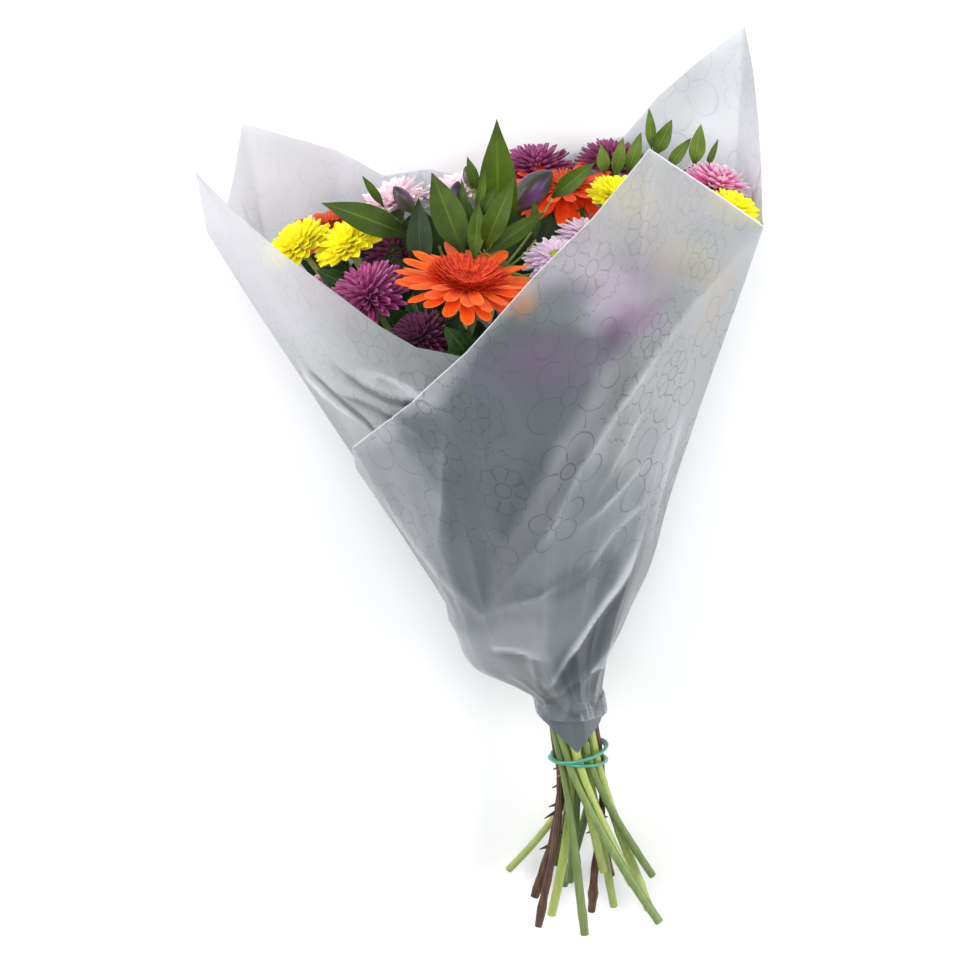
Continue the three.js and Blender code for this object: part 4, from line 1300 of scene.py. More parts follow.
STEMS: dict[str, Stem] = {
    "stem_gerbera_front": Stem(False, 0, (100, -262, 12), 2.7, "light", ("gerbera_front",),
                               spurs=((0.72, 180, 4.2),)),
    "stem_purple_left": Stem(
        False, 1, (101, -235, 28), 2.1, "green", ("purple_left_a", "purple_left_b", "purple_left_c"),
        leaves=((0.3, (44, 0), 11, "lobed"), (0.52, (40, -60), 10, "lobed"), (0.7, (34, 100), 9, "lobed"))),
    "stem_yellow_left": Stem(
        False, 2, (89, -238, 34), 2.5, "light", ("yellow_left_a", "yellow_left_b"),
        leaves=((0.4, (40, -20), 10, "lobed"), (0.62, (36, -70), 9, "lobed"))),
    "stem_gerbera_left": Stem(False, 3, (104, -252, 60), 2.4, "green", ("gerbera_left",)),
    "stem_pink_left": Stem(
        False, 4, (61, -262, 54), 2.3, "green", ("pink_left_a", "pink_left_b", "pink_left_c"),
        leaves=((0.3, (42, 50), 10, "lobed"), (0.6, (36, -60), 9, "lobed")),
        spurs=((0.6, 200, 3.8), (0.85, 160, 4))),
    "branch_back": Stem(
        False, 5, (34, -259, 49), 2.1, "brown", tip=(-2, 158, 14),
        leaves=both_ways("twig", (0.5, 32, 6), (0.62, 32, 6), (0.74, 32, 6), (0.84, 30, 6), (0.93, 28, 5.5))),
    "branch_right": Stem(
        False, 6, (32, -245, 37), 2.3, "brown", tip=(98, 206, 44),
        spurs=((0.28, 172, 6), (0.38, 10, 6), (0.5, 150, 9), (0.55, 185, 6), (0.62, 20, 6), (0.7, 165, 6),
               (0.85, 178, 6)),
        leaves=(((69, 186, 46), (67, 203, 50), 3.8, "twig"), ((75, 184, 46), (79, 207, 50), 3.8, "twig"),
                ((82, 186, 46), (89, 210, 50), 4, "twig"), ((95, 200, 46), (93, 224, 53), 3, "twig"),
                ((97, 196, 44), (106, 217, 50), 4.6, "twig"), ((119, 190, 42), (122, 214, 48), 4.6, "twig"),
                ((126, 188, 40), (132, 205, 44), 2, "twig"), ((104, 188, 42), (117, 206, 46), 3.6, "twig"))),
    "stem_pink_right": Stem(
        False, 7, (44, -227, 32), 2.1, "green", ("pink_right_a", "pink_right_b"),
        leaves=((0.35, (40, -40), 10, "lobed"), (0.6, (34, 60), 9, "lobed"))),
    "stem_yellow_right": Stem(
        False, 8, (17, -239, 8), 2.0, "light", ("yellow_right_c", "yellow_right_a", "yellow_right_b"),
        leaves=((0.35, (40, 50), 10, "lobed"), (0.6, (36, -60), 9, "lobed"))),
    "stem_lilac_right": Stem(
        False, 9, (50, -250, 4), 2.2, "green",
        ("lilac_right_c", "lilac_right_a", "lilac_right_b", "lilac_right_d"),
        leaves=((0.3, (42, 40), 10, "lobed"), (0.5, (38, -50), 10, "lobed"))),
    "branch_front": Stem(
        False, 10, (66, -262, 16), 2.2, "brown", tip=(22, 122, 140), spurs=((0.5, -20, 5), (0.42, 175, 8)),
        leaves=(*both_ways("twig", (0.55, 34, 7), (0.66, 34, 7), (0.78, 32, 7), (0.88, 30, 7)),
                (0.95, (6, 122, 152), 7, "twig"), (0.97, (38, 128, 156), 7, "twig"))),
    "stem_alstroemeria_centre": Stem(
        True, 0, (79, -258, 18), 2.1, "light", ("bud_a", "bud_d", "bud_e"), (9, 164, 99), (0.86, 0.04),
        leaves=((0.97, (9, 229, 118), 10.5, "lance"), ((4, 159, 134), (35, 180, 126), 5, "lance"),
                ((39, 183, 102), (62, 204, 110), 5, "lance"), ((30, 164, 122), (29, 186, 120), 3, "lance"),
                ((-6, 166, 124), (-10, 197, 118), 2.6, "lance"),
                ((2, 161, 134), (19, 202, 136), 6.5, "hanging"),
                ((-2, 178, 130), (3, 203, 128), 2.5, "lance"),
                ((-3, 156, 136), (-1, 188, 133), 4.5, "lance"), ((0, 178, 133), (9, 196, 131), 3, "lance"),
                ((-1, 186, 100), (-7, 205, 98), 3, "lance"), (0.96, (14, 186, 130), 6, "lance"),
                ((6, 140, 84), (16, 180, 70), 12, "dark"), ((-14, 140, 86), (-8, 180, 74), 11, "dark"),
                ((30, 138, 84), (40, 170, 74), 11, "dark"), ((50, 136, 92), (60, 158, 84), 9, "dark"),
                ((-20, 106, 134), (0, 133, 146), 8, "dark"), ((2, 108, 136), (-12, 130, 147), 7, "dark"))),
    "stem_alstroemeria_left": Stem(
        True, 1, (72, -226, 46), 2.2, "light", ("bud_b", "bud_c"), (-22, 156, 101), (0.86, 0.04),
        leaves=(((-9, 157, 127), (-26, 200, 118), 9, "lance"),
                ((-38, 164, 112), (-86, 181, 106), 8, "hanging"),
                ((-32, 146, 129), (-33, 187, 122), 7, "dark"), ((-52, 177, 98), (-64, 194, 95), 2.4, "lance"),
                (0.9, (-34, 178, 96), 9, "dark"), (0.9, (-47, 170, 110), 6, "dark"),
                ((-36, 138, 84), (-34, 172, 70), 11, "dark"), ((-60, 136, 80), (-62, 160, 72), 9, "dark"))),
    "stem_gerbera_right": Stem(True, 2, (42, -258, 32), 2.45, "light", ("gerbera_right",)),
    "stem_purple_back": Stem(
        True, 3, (53, -243, 16), 2.3, "dark", ("purple_back_a", "purple_back_b"),
        leaves=((0.45, (40, 60), 10, "lobed"),)),
    "branch_side": Stem(
        True, 4, (78, -243, 6), 1.7, "brown", tip=(98, 140, 62),
        leaves=both_ways("twig", (0.6, 30, 6), (0.72, 30, 6), (0.84, 28, 6), (0.94, 28, 6))),
}

SKINS = {
    "light": StemFinish("light green stems", (0.29, 0.37, 0.08), (0.41, 0.47, 0.14), 0.06),
    "green": StemFinish("mid green stems", (0.13, 0.2, 0.045), (0.21, 0.27, 0.08), 0.08),
    "dark": StemFinish("dark green stems", (0.07, 0.12, 0.03), (0.12, 0.17, 0.05), 0.08),
    "brown": StemFinish("brown bark", (0.05, 0.018, 0.009), (0.15, 0.068, 0.034), 0.35, 0.6),
}
ALSTROEMERIA = LeafFinish("alstroemeria leaves", (0.062, 0.118, 0.003), (0.155, 0.235, 0.025), 15.0, 0.48)
BLADES = {
    "lance": ALSTROEMERIA,
    "hanging": ALSTROEMERIA,
    "lobed": LeafFinish("chrysanthemum leaves", (0.035, 0.1, 0.02), (0.14, 0.24, 0.07), 5.0, 0.5),
    "dark": LeafFinish("shaded leaves", (0.018, 0.042, 0.008), (0.05, 0.085, 0.025), 9.0, 0.5),
    "twig": LeafFinish("twig leaves", (0.135, 0.22, 0.03), (0.26, 0.36, 0.1), 5.0, 0.45),
}
STEM_SLOTS = {"light": "light_stems", "green": "green_stems", "dark": "green_stems", "brown": "bark"}
CUTS = {
    "green": SmoothFinish("cut green ends", (0.55, 0.6, 0.3), (0.4, 0.5, 0.2), 0.6, scale=1200),
    "brown": SmoothFinish("cut woody ends", (0.55, 0.42, 0.25), (0.35, 0.22, 0.12), 0.7, scale=1200),
}


@dataclass
class StemBundle:
    """The stems and branches, run side by side through the band and spread above and below it.

    Outer and inner are the two rings that the stems stand in at the band: how many they are, how far
    out, and the first one's angle in degrees. Steps are the points that a stem has below and above the
    band, and a side stalk. While a stem is made, the bundle holds it, its seed, its curves and its mesh.
    """

    tie: Place = TIE
    throat: float = -116.0
    outer: tuple[float, float, float] = (11, 14, 25)
    inner: tuple[float, float, float] = (5, 5.2, 36)
    lean: float = LEAN
    twist: float = 0.012
    bend_below: float = 28.0
    rise: float = 80.0
    approach: float = 70.0
    stalk_share: float = 0.62
    cup: float = 0.26
    bud_cup: float = 0.5
    gap: float = 0.3
    head_base: float = -0.24
    gerbera_base: float = -0.16
    leaf_along: float = 0.8
    leaf_out: float = 0.5
    knot_pitch: float = 36.0
    knot_reach: float = 1.8
    cut_share: float = 0.84
    cut_sides: int = 12
    sides: int = 14
    steps: tuple[int, int, int] = (26, 46, 22)
    foliage: int = 14
    foliage_span: tuple[float, float] = (0.16, 0.84)
    foliage_turn: float = 137.5

    def build(self) -> list[Piece]:
        """Makes each stem with its stalks, cups and leaves.

        Returns:
            The stems.
        """
        self.sweep = SweepRecipe()
        skins = {name: finish.build() for name, finish in SKINS.items()}
        unlike = {finish.name: finish for finish in BLADES.values()}
        blades = {name: finish.build() for name, finish in unlike.items()}
        cuts = {name: finish.build() for name, finish in CUTS.items()}
        made = []
        for seed, (name, stem) in enumerate(STEMS.items()):
            kinds = sorted({BLADES[leaf[3]].name for leaf in stem.leaves} | {BLADES["lobed"].name})
            self.stem, self.seed, self.skin, self.pile = stem, seed, skins[stem.skin], MeshPile()
            self.slots = {kind: 2 + number for number, kind in enumerate(kinds)}
            self.below, self.above = self.curves()
            self.rods()
            self.leaves()
            finishes = [self.skin, cuts.get(stem.skin, cuts["green"]), *(blades[kind] for kind in kinds)]
            made.append(dress(self.pile.build(f"{name}_grown", finishes), STEM_SLOTS[stem.skin], name))
        return made

    def curves(self) -> tuple[list[Array], list[Array]]:
        """The two curves that the stem follows.

        Returns:
            The handles of the curve from its cut end to the band, and of the one on from there.
        """
        stem = self.stem
        count, reach, first = self.inner if stem.inner else self.outer
        reach = reach if stem.inner else reach - stem.radius
        angle = math.radians(first + 360 * stem.slot / count)
        dx, dz = reach * math.cos(angle), reach * math.sin(angle)
        point = np.array([self.tie[0] + dx, self.tie[1], self.tie[2] + dz])
        rise = np.array([self.lean - self.twist * dz, 1, self.twist * dx])
        tape = point + rise * (self.throat - self.tie[1] + 4)
        if stem.tip:
            goal = np.array(stem.tip, float)
            arrive = unit(goal - np.array(FAN))
        else:
            goal, arrive = self.seat(stem.heads[0]), HEADS[stem.heads[0]].looks()
        below = [np.array(stem.end, float), point - rise * self.bend_below, point]
        return below, [tape, tape + rise * self.rise, goal - arrive * self.approach, goal]

    def seat(self, name: str) -> Array:
        """Finds where a head's stalk ends.

        Args:
            name: The head's CAD node.

        Returns:
            The point, just under the head.
        """
        head = HEADS[name]
        bases = {Kind.BUD: 0.0, Kind.GERBERA: self.gerbera_base, Kind.FOLDED: self.gerbera_base}
        base = bases.get(head.kind, self.head_base)
        return np.array(head.at) + head.looks() * (base * head.radius - self.gap)

    def rods(self) -> None:
        """Adds the stem, its side stalks, its cut end and its spurs."""
        stem, seed = self.stem, self.seed
        chance = np.random.default_rng(1000 + seed)
        low, high, side = (np.linspace(0, 1, count) for count in self.steps)
        row = np.concatenate([bezier(self.below, low), bezier(self.above, high)])
        run = run_along(row)
        knots = np.arange(chance.uniform(12, 30), run[-1] - 30, self.knot_pitch * chance.uniform(0.85, 1.3))
        swell = sum(np.exp(-((run - knot) / self.knot_reach) ** 2) for knot in knots)
        woody = stem.skin == "brown"
        foot = 1 - smooth_step(run, 30, 90)
        thick = stem.radius * (0.92 + (0.2 if woody else 0.13) * swell + 0.18 * foot)
        if woody:
            thick = thick * (1 + 0.09 * np.sin(run / 3.1 + seed) + 0.08 * np.sin(run / 7.7))
        wander = np.stack([np.sin(run / 21 + seed), np.zeros_like(run), np.cos(run / 17 + 2 * seed)], 1)
        row = row + wander * (0.8 if woody else 0.25) * smooth_step(run, 0, 30)[:, None]
        self.rod(row, thick, chance.uniform(), head=None if stem.tip else stem.heads[0])
        for number, name in enumerate(stem.heads if stem.tip else stem.heads[1:]):
            fork, toward = point_and_way(self.above, stem.forks[0] + stem.forks[1] * number)
            seat, looks = self.seat(name), HEADS[name].looks()
            reach = np.linalg.norm(seat - fork) / 3
            stalk = bezier([fork, fork + toward * reach, seat - looks * reach, seat], side)
            self.rod(stalk, np.full(len(stalk), self.stalk_share * stem.radius), chance.uniform(), head=name)
        self.cut_end(row)
        for share, turn, reach in stem.spurs:
            foot = bezier(self.below, np.array([share]))[0]
            angle = math.radians(turn)
            point = foot + np.array([reach * math.cos(angle), -0.35 * reach, reach * math.sin(angle)])
            self.rod(np.linspace(foot, point, 6), np.linspace(1.3, 0.25, 6), 0.3, taper=False)

    def rod(self, row: Array, thick: Array, tone: float, head: str | None = None, taper: bool = True) -> None:
        """Adds one swept rod, widened into a cup under its head or drawn out to a thin tip.

        Args:
            row: The points along its middle.
            thick: Its radius at each of them.
            tone: How pale it is.
            head: The head that it carries.
            taper: Whether it thins out towards its tip where it carries none.
        """
        run = run_along(row)
        left = run[-1] - run
        if head:
            place = HEADS[head]
            cup = (self.bud_cup if place.kind is Kind.BUD else self.cup) * place.radius
            steps = np.linspace(1.1 * cup, 0, 7)
            keep = left > 1.3 * cup
            end, looks = row[-1], place.looks()
            row = np.concatenate([row[keep], end - looks * steps[:, None]])
            flare = thick[-1] + (cup - thick[-1]) * (1 - (steps / (1.1 * cup)) ** 1.4)
            thick = np.concatenate([thick[keep], flare])
        elif taper:
            thick = thick * (0.4 + 0.6 * smooth_step(left, 0, 70))
        mesh = self.sweep.bake(line_mesh(row, thick), Sides=self.sides, Flatness=1.0, Material=self.skin)
        self.pile.add_mesh(mesh, tone=tone)

    def cut_end(self, row: Array) -> None:
        """Adds the pale cut face at the foot of the stem, a little domed.

        Args:
            row: The stem's points from its foot up.
        """
        place = Matrix.Translation(row[0]) @ turned(unit(row[0] - row[1]))
        angle = np.linspace(0, 2 * math.pi, self.cut_sides, endpoint=False)
        reach = self.cut_share * self.stem.radius
        ring = np.stack([reach * np.cos(angle), reach * np.sin(angle), np.zeros(self.cut_sides)], 1)
        points = np.concatenate([ring, [[0, 0, -0.4], [0, 0, 0.22]]])
        corners, sizes = tube_faces(1, self.cut_sides, caps=True)
        self.pile.add(apply(place, points), corners, sizes, 1, {"tone": 0.5})

    def leaves(self) -> None:
        """Adds the stem's leaves."""
        chance = np.random.default_rng(2000 + self.seed)
        for number, (start, end, half_width, kind) in enumerate(self.stem.leaves):
            if isinstance(start, tuple):
                root, foot = np.array(start, float), point_and_way(self.above, 0.9)[0]
                twig = bezier([foot, 0.5 * (foot + root) - (0, 6, 2), root], np.linspace(0, 1, 8))
                self.rod(twig, np.linspace(0.9, 0.5, 8), 0.5, taper=False)
            else:
                root = point_and_way(self.above, start)[0]
            tip = np.array(end, float) if len(end) == 3 else self.leaf_tip(start, *end)
            upper, under = LEAVES[kind].grids(root, tip, half_width, 31 * self.seed + number)
            self.pile.add_shell(upper, under, self.slots[BLADES[kind].name], chance.uniform(0.15, 0.95))
        if not self.stem.tip:
            self.filler(chance)

    def filler(self, chance: np.random.Generator) -> None:
        """Adds the leaves that fill the bundle inside the film.

        Args:
            chance: Where their random draws come from.
        """
        slot = self.slots[BLADES["lobed"].name]
        for number, share in enumerate(np.linspace(*self.foliage_span, self.foliage)):
            share += chance.uniform(-0.03, 0.03)
            length = (19 + 34 * share) * chance.uniform(0.85, 1.15)
            turn = self.foliage_turn * number + chance.uniform(-30, 30)
            root, tip = point_and_way(self.above, share)[0], self.leaf_tip(share, length, turn)
            half_width = (5 + 8 * share) * chance.uniform(0.8, 1.2)
            upper, under = LEAVES["filler"].grids(root, tip, half_width, 977 * self.seed + number)
            self.pile.add_shell(upper, under, slot, chance.uniform(0.0, 0.8))

    def leaf_tip(self, share: float, length: float, turn: float) -> Array:
        """Where a leaf's tip lies.

        Args:
            share: Where the leaf grows on the stem's curve above the band.
            length: How far the leaf reaches.
            turn: Its turn round the stem in degrees, from the bouquet's outside.

        Returns:
            The point.
        """
        root, along = point_and_way(self.above, share)
        outward = root - np.array([FAN[0], root[1], FAN[2]])
        outward = unit(outward - along * outward.dot(along))
        angle = math.radians(turn)
        spread = outward * math.cos(angle) + np.cross(along, outward) * math.sin(angle)
        return root + along * self.leaf_along * length + spread * self.leaf_out * length


@dataclass
class FlowerBuds:
    """The closed alstroemeria buds: long, with the folds of their petals showing."""

    length: float = 3.8
    profile: tuple[float, ...] = (0.35, 0.55, 0.76, 0.9, 0.98, 1.0, 0.97, 0.88, 0.72, 0.48, 0.1)
    folds: int = 3
    fold_depth: float = 0.13
    sides: int = 36
    rings: int = 22

    def build(self) -> list[Piece]:
        """Makes each bud and puts it in its CAD node's place.

        Returns:
            The buds.
        """
        finish = BudFinish().build()
        share = np.linspace(0, 1, self.rings)[:, None]
        angle = np.linspace(0, 2 * math.pi, self.sides, endpoint=False)
        half = np.interp(share, np.linspace(0, 1, len(self.profile)), self.profile)
        fold = 1 + self.fold_depth * (np.abs(np.cos(self.folds / 2 * (angle + 0.5 * share))) - 0.7)
        corners, sizes = tube_faces(self.rings, self.sides, caps=True)
        marks = {"along": np.append(np.repeat(share, self.sides), [0, 1]),
                 "across": np.append(np.tile(np.cos(self.folds * angle), self.rings), [0, 0])}
        made = []
        for name, head in HEADS.items():
            if head.kind is not Kind.BUD:
                continue
            size = head.radius * head.share
            reach = half * size * fold
            height = np.repeat(share * self.length * size, self.sides, 1)
            points = np.stack([reach * np.cos(angle), reach * np.sin(angle), height], -1).reshape(-1, 3)
            points = np.concatenate([points, [[0, 0, 0], [0, 0, self.length * size]]])
            place = Matrix.Translation(head.at) @ turned(head.looks())
            pile = MeshPile()
            # A bud's number is its share of young green, its own colour.
            pile.add(apply(place, points), corners, sizes, 0, {**marks, "tone": head.painted_shade_and_green})
            made.append(dress(pile.build(f"{name}_closed", [finish]), "buds", name))
        return made


# Wrapper, tape and rubber band


def from_line(x: Array, y: Array, start: Array, end: Array) -> tuple[Array, ...]:
    """Where points lie beside a straight line.

    Args:
        x: Their places across.
        y: Their places up.
        start: The line's start.
        end: The line's end.

    Returns:
        How far they are from it, their share of the way along it, and how far they are to its left.
    """
    step = end - start
    t = np.clip(((x - start[0]) * step[0] + (y - start[1]) * step[1]) / step.dot(step), 0, 1)
    off_x, off_y = x - start[0] - t * step[0], y - start[1] - t * step[1]
    return np.hypot(off_x, off_y), t, (step[0] * off_y - step[1] * off_x) / np.linalg.norm(step)


@dataclass(frozen=True)
class Shade:
    """A soft patch on the film: painted shade, or a painted violet or amber glow, for what lies against it
    inside.
    """

    path: tuple[tuple[float, float], ...]
    amount: float
    soft: float = 7.0
    mark: str = "depth"

    def cover(self, x: Array, y: Array) -> Array:
        """How much of the patch is at each point.

        Args:
            x: The points' places across.
            y: Their places up.

        Returns:
            1 inside it, fading to 0 over its soft edge.
        """
        nearest, inside = np.full(x.shape, 1e9), np.zeros(x.shape, bool)
        line = np.asarray(self.path, float)
        for start, end in zip(line, np.roll(line, -1, axis=0)):
            nearest = np.minimum(nearest, from_line(x, y, start, end)[0])
            if start[1] != end[1]:
                crossing = start[0] + (y - start[1]) * (end[0] - start[0]) / (end[1] - start[1])
                inside ^= ((start[1] > y) != (end[1] > y)) & (x < crossing)
        return smooth_step(np.where(inside, nearest, -nearest), -self.soft, self.soft)


@dataclass(frozen=True)
class Crease:
    """A fold in the film: its line in plan, how far it stands out and the painted light that it gives the
    film.

    Crest is the painted highlight on its ridge, partly the film's own whitening there. Left and right are the
    tones beside it, seen along the line, painted highlight above 0 and painted shade below, and reach is how
    far they spread. An inner crease is on the part of the film that the outer flap goes over.
    """

    path: tuple[tuple[float, float], ...]
    width: float
    height: float
    left: float = 0.0
    right: float = 0.0
    crest: float = 0.4
    reach: float = 8.0
    sharp: float = 1.0
    inner: bool = False

    def press(self, x: Array, y: Array) -> tuple[Array, Array]:
        """What the crease does to the film.

        Args:
            x: The points' places across.
            y: Their places up.

        Returns:
            How far the film stands out at the points, and its painted tone there: painted shade below 0,
            painted highlight above.
        """
        nearest = np.full(x.shape, 1e9)
        share, side = np.zeros(x.shape), np.zeros(x.shape)
        line = np.asarray(self.path, float)
        for number, (start, end) in enumerate(zip(line, line[1:])):
            away, t, beside = from_line(x, y, start, end)
            closer = away < nearest
            share = np.where(closer, (number + t) / (len(line) - 1), share)
            side = np.where(closer, beside, side)
            nearest = np.minimum(nearest, away)
        fade = np.sin(math.pi * np.clip(share, 0.02, 0.98)) ** 0.5
        # Painted light: a painted highlight on the crest, partly the film's own whitening, and beside it
        # painted highlight for a tone above 0 and painted shade for one below.
        beside = np.where(side > 0, self.left, self.right) * smooth_step(nearest, 0, 2)
        tone = self.crest * np.exp(-(nearest / 2.0) ** 1.5) + beside * np.exp(-nearest / self.reach)
        return self.height * fade * np.exp(-(nearest / self.width) ** self.sharp), tone * fade


# The film's rim from its hidden inner end, round the back and over the front to its outer end: the x, y
# and z of each point, then those of its knee. A point that has a knee stands up from it: below the knee
# the film lies along the floor or the flowers.
RIM: tuple[tuple[float, ...], ...] = (
    (67, 128, 147), (32, 116, 161), (-8, 110, 168), (-34, 114, 164), (-53, 124, 157), (-82, 143, 142),
    (-105, 157, 128), (-133, 177, 108), (-155, 194, 88), (-151, 156, 66), (-143, 158, 52),
    (-138, 180, 36, -124, 140, 36), (-133, 210, 22, -120, 140, 20), (-115, 203, 12, -104, 135, 6),
    (-80, 191, 4, -74, 130, 0), (-55, 176, -4), (-30, 180, -8), (-7, 175, -8), (23, 182, -8), (48, 187, -8),
    (68, 195, -6), (82, 199, -2, 76, 150, -4), (100, 222, 4, 98, 152, 0), (123, 244, 12, 122, 152, 8),
    (147, 264.6, 24, 141, 152, 24), (151, 242, 36, 147, 154, 40), (153.5, 218, 48, 149.5, 156, 54),
    (155, 194, 62, 151, 158, 68), (155, 164, 84), (121, 196, 140), (88, 225, 186), (58, 189, 190),
    (28, 158, 190), (-7, 116, 181), (-38, 79, 144), (-71, 42, 98), (-70, 22, 66),
)

# Folds in the film, with their painted highlights and painted shade.
CREASES = (
    Crease(((3, -55), (36, 4), (52, 44), (65, 68), (77, 87), (92, 108), (113, 132), (151, 159)), 24, 7.0,
           -0.4, 0.2, 0.35, 24),
    Crease(((36, -109), (53, -76), (74, -40), (89, -6)), 8, 4.5, 0.25, -1.5, 0.75, 9, 0.8),
    Crease(((38, -115), (57, -96), (75, -89)), 6, 2.5, 0.1, -0.7, 0.5, 5, 0.8),
    Crease(((52, -112), (70, -80), (86, -52)), 6, 2.2, -0.3, 0.3, 0.5, 6, 0.9),
    Crease(((-21, -13), (-19, 18), (-18, 58)), 14, 2.5, 0.3, -0.25, 0.1, 16),
    Crease(((2, -57), (-17, -39), (-34, -20), (-45, -3), (-60, 22)), 6, 3.0, -0.4, 0.15, 0.5, 8, 0.8),
    Crease(((6, -79), (20, -79), (36, -84)), 3.5, 2.4, 0.4, -0.8, 0.6, 5, 0.8),
    Crease(((34, -114), (31, -96), (28, -82)), 4, 1.6, 0.2, -0.5, 0.2, 4),
    Crease(((3, -55), (24, -43), (44, -33)), 10, 1.6, -0.35, 0.3, 0.2, 12),
    Crease(((53, 2), (71, 20), (91, 39)), 8, 1.8, -0.2, 0.1, 0.4, 8),
    Crease(((56, -30), (72, -4), (96, 16)), 8, 1.8, 0.15, -0.3, 0.35, 8),
    Crease(((60, 18), (74, 48), (87, 76)), 8, 1.6, -0.1, -0.15, 0.3, 8),
    Crease(((92, -30), (99, 10), (112, 60)), 9, 2.4, 0.1, -0.3, 0.45, 8),
    Crease(((-8, -77), (6, -88), (25, -102)), 8, 1.6, 0.3, -0.2, 0.15, 12),
    Crease(((10, -30), (14, 20), (26, 70)), 26, 2.4, 0.05, -0.15, 0.0, 16),
    Crease(((70, 150), (35, 60), (8, -10)), 22, 2.4, 0.0, 0.0, 0.0),
    Crease(((-75, 90), (-60, 84), (-47, 81), (-32, 82), (-13, 77)), 3.5, 3.0, 0.6, -3.0, 0.0, 4.6,
           inner=True),
    Crease(((-77, 71), (-66, 73), (-56, 72), (-47, 69), (-30, 60)), 3, 2.4, 0.6, -3.0, 0.0, 3.4, inner=True),
    Crease(((-96, 79), (-83, 69), (-74, 63), (-63, 56), (-55, 48)), 2.5, -1.6, 0.6, 0.5, -1.8, 2.6,
           inner=True),
    Crease(((-102, 90), (-96, 73), (-86, 63), (-62, 52)), 2.5, 1.2, 0.2, -0.3, 0.7, 3, inner=True),
    Crease(((-70, 78), (-55, 76), (-42, 74), (-27, 69)), 3, 1.4, 0.1, 0.1, 0.6, 3, inner=True),
    Crease(((-68, 91), (-52, 93), (-38, 88), (-30, 83)), 5, 1.2, 0.1, 0.1, 0.4, 5, inner=True),
)

# Patches of painted shade and of painted violet and amber glow on the film.
SHADES = (
    Shade(((-67, 40), (-55, 46), (-45, 53), (-30, 32), (-21, 17), (-21, -21), (-13, -45), (-28, -27),
           (-45, 1)), 0.66, 5),
    Shade(((-40, 52), (-30, 32), (-21, 17), (-21, -21), (-27, -12), (-38, 14)), 0.76, 3),
    Shade(((11, -42), (20, -17), (33, 8), (43, 33), (54, 57), (88, 31), (101, 5), (90, -44), (76, -60),
           (50, -60)), 0.76, 9),
    Shade(((54, 57), (65, 80), (80, 108), (99, 59), (107, 16), (88, 31)), 0.56, 10),
    Shade(((-32, 74), (-46, 72), (-44, 54), (-30, 32), (-21, 17), (-21, -21), (-13, -44), (2, -56), (7, -32),
           (12, -7), (25, 17), (38, 46), (44, 66), (35, 78), (-5, 78)), 0.97, 5),
    Shade(((-15, 94), (3, 125), (21, 144), (33, 140), (47, 132), (60, 122), (76, 126), (77, 114), (65, 99),
           (57, 81), (46, 62), (11, 60), (-24, 76)), 0.97, 6),
    Shade(((-36, -66), (-7, -71), (2, -69), (11, -60), (30, -58), (38, -66), (36, -78), (33, -93), (24, -107),
           (4, -100), (-16, -88)), 0.5, 6),
    Shade(((38, -108), (41, -88), (54, -68), (64, -43), (73, -18), (79, -24), (74, -49), (70, -83),
           (67, -112)), 0.99, 4),
    Shade(((24, -43), (44, -27), (67, -20), (73, -14), (65, -31), (45, -45)), 0.95, 4),
    Shade(((21, 134), (32, 151), (45, 155), (61, 150), (58, 133), (40, 125)), 0.8, 8),
    Shade(((-8, 104), (22, 128), (62, 122), (72, 104), (50, 88), (14, 92)), 0.28, 12, "violet"),
    Shade(((62, 126), (76, 138), (100, 136), (90, 120), (72, 110)), 0.62, 9, "violet"),
    Shade(((18, 116), (34, 124), (46, 114), (38, 98), (22, 102)), 0.45, 9, "violet"),
    Shade(((56, 146), (90, 176), (118, 150), (84, 138)), 0.3, 14, "violet"),
    Shade(((58, 136), (66, 134), (64, 124), (56, 126)), 0.5, 5),
    Shade(((16, 139), (25, 147), (30, 141), (22, 133)), 0.5, 4, "amber"),
    Shade(((124, 140), (134, 148), (142, 146), (128, 104), (118, 106)), 0.14, 8, "amber"),
)


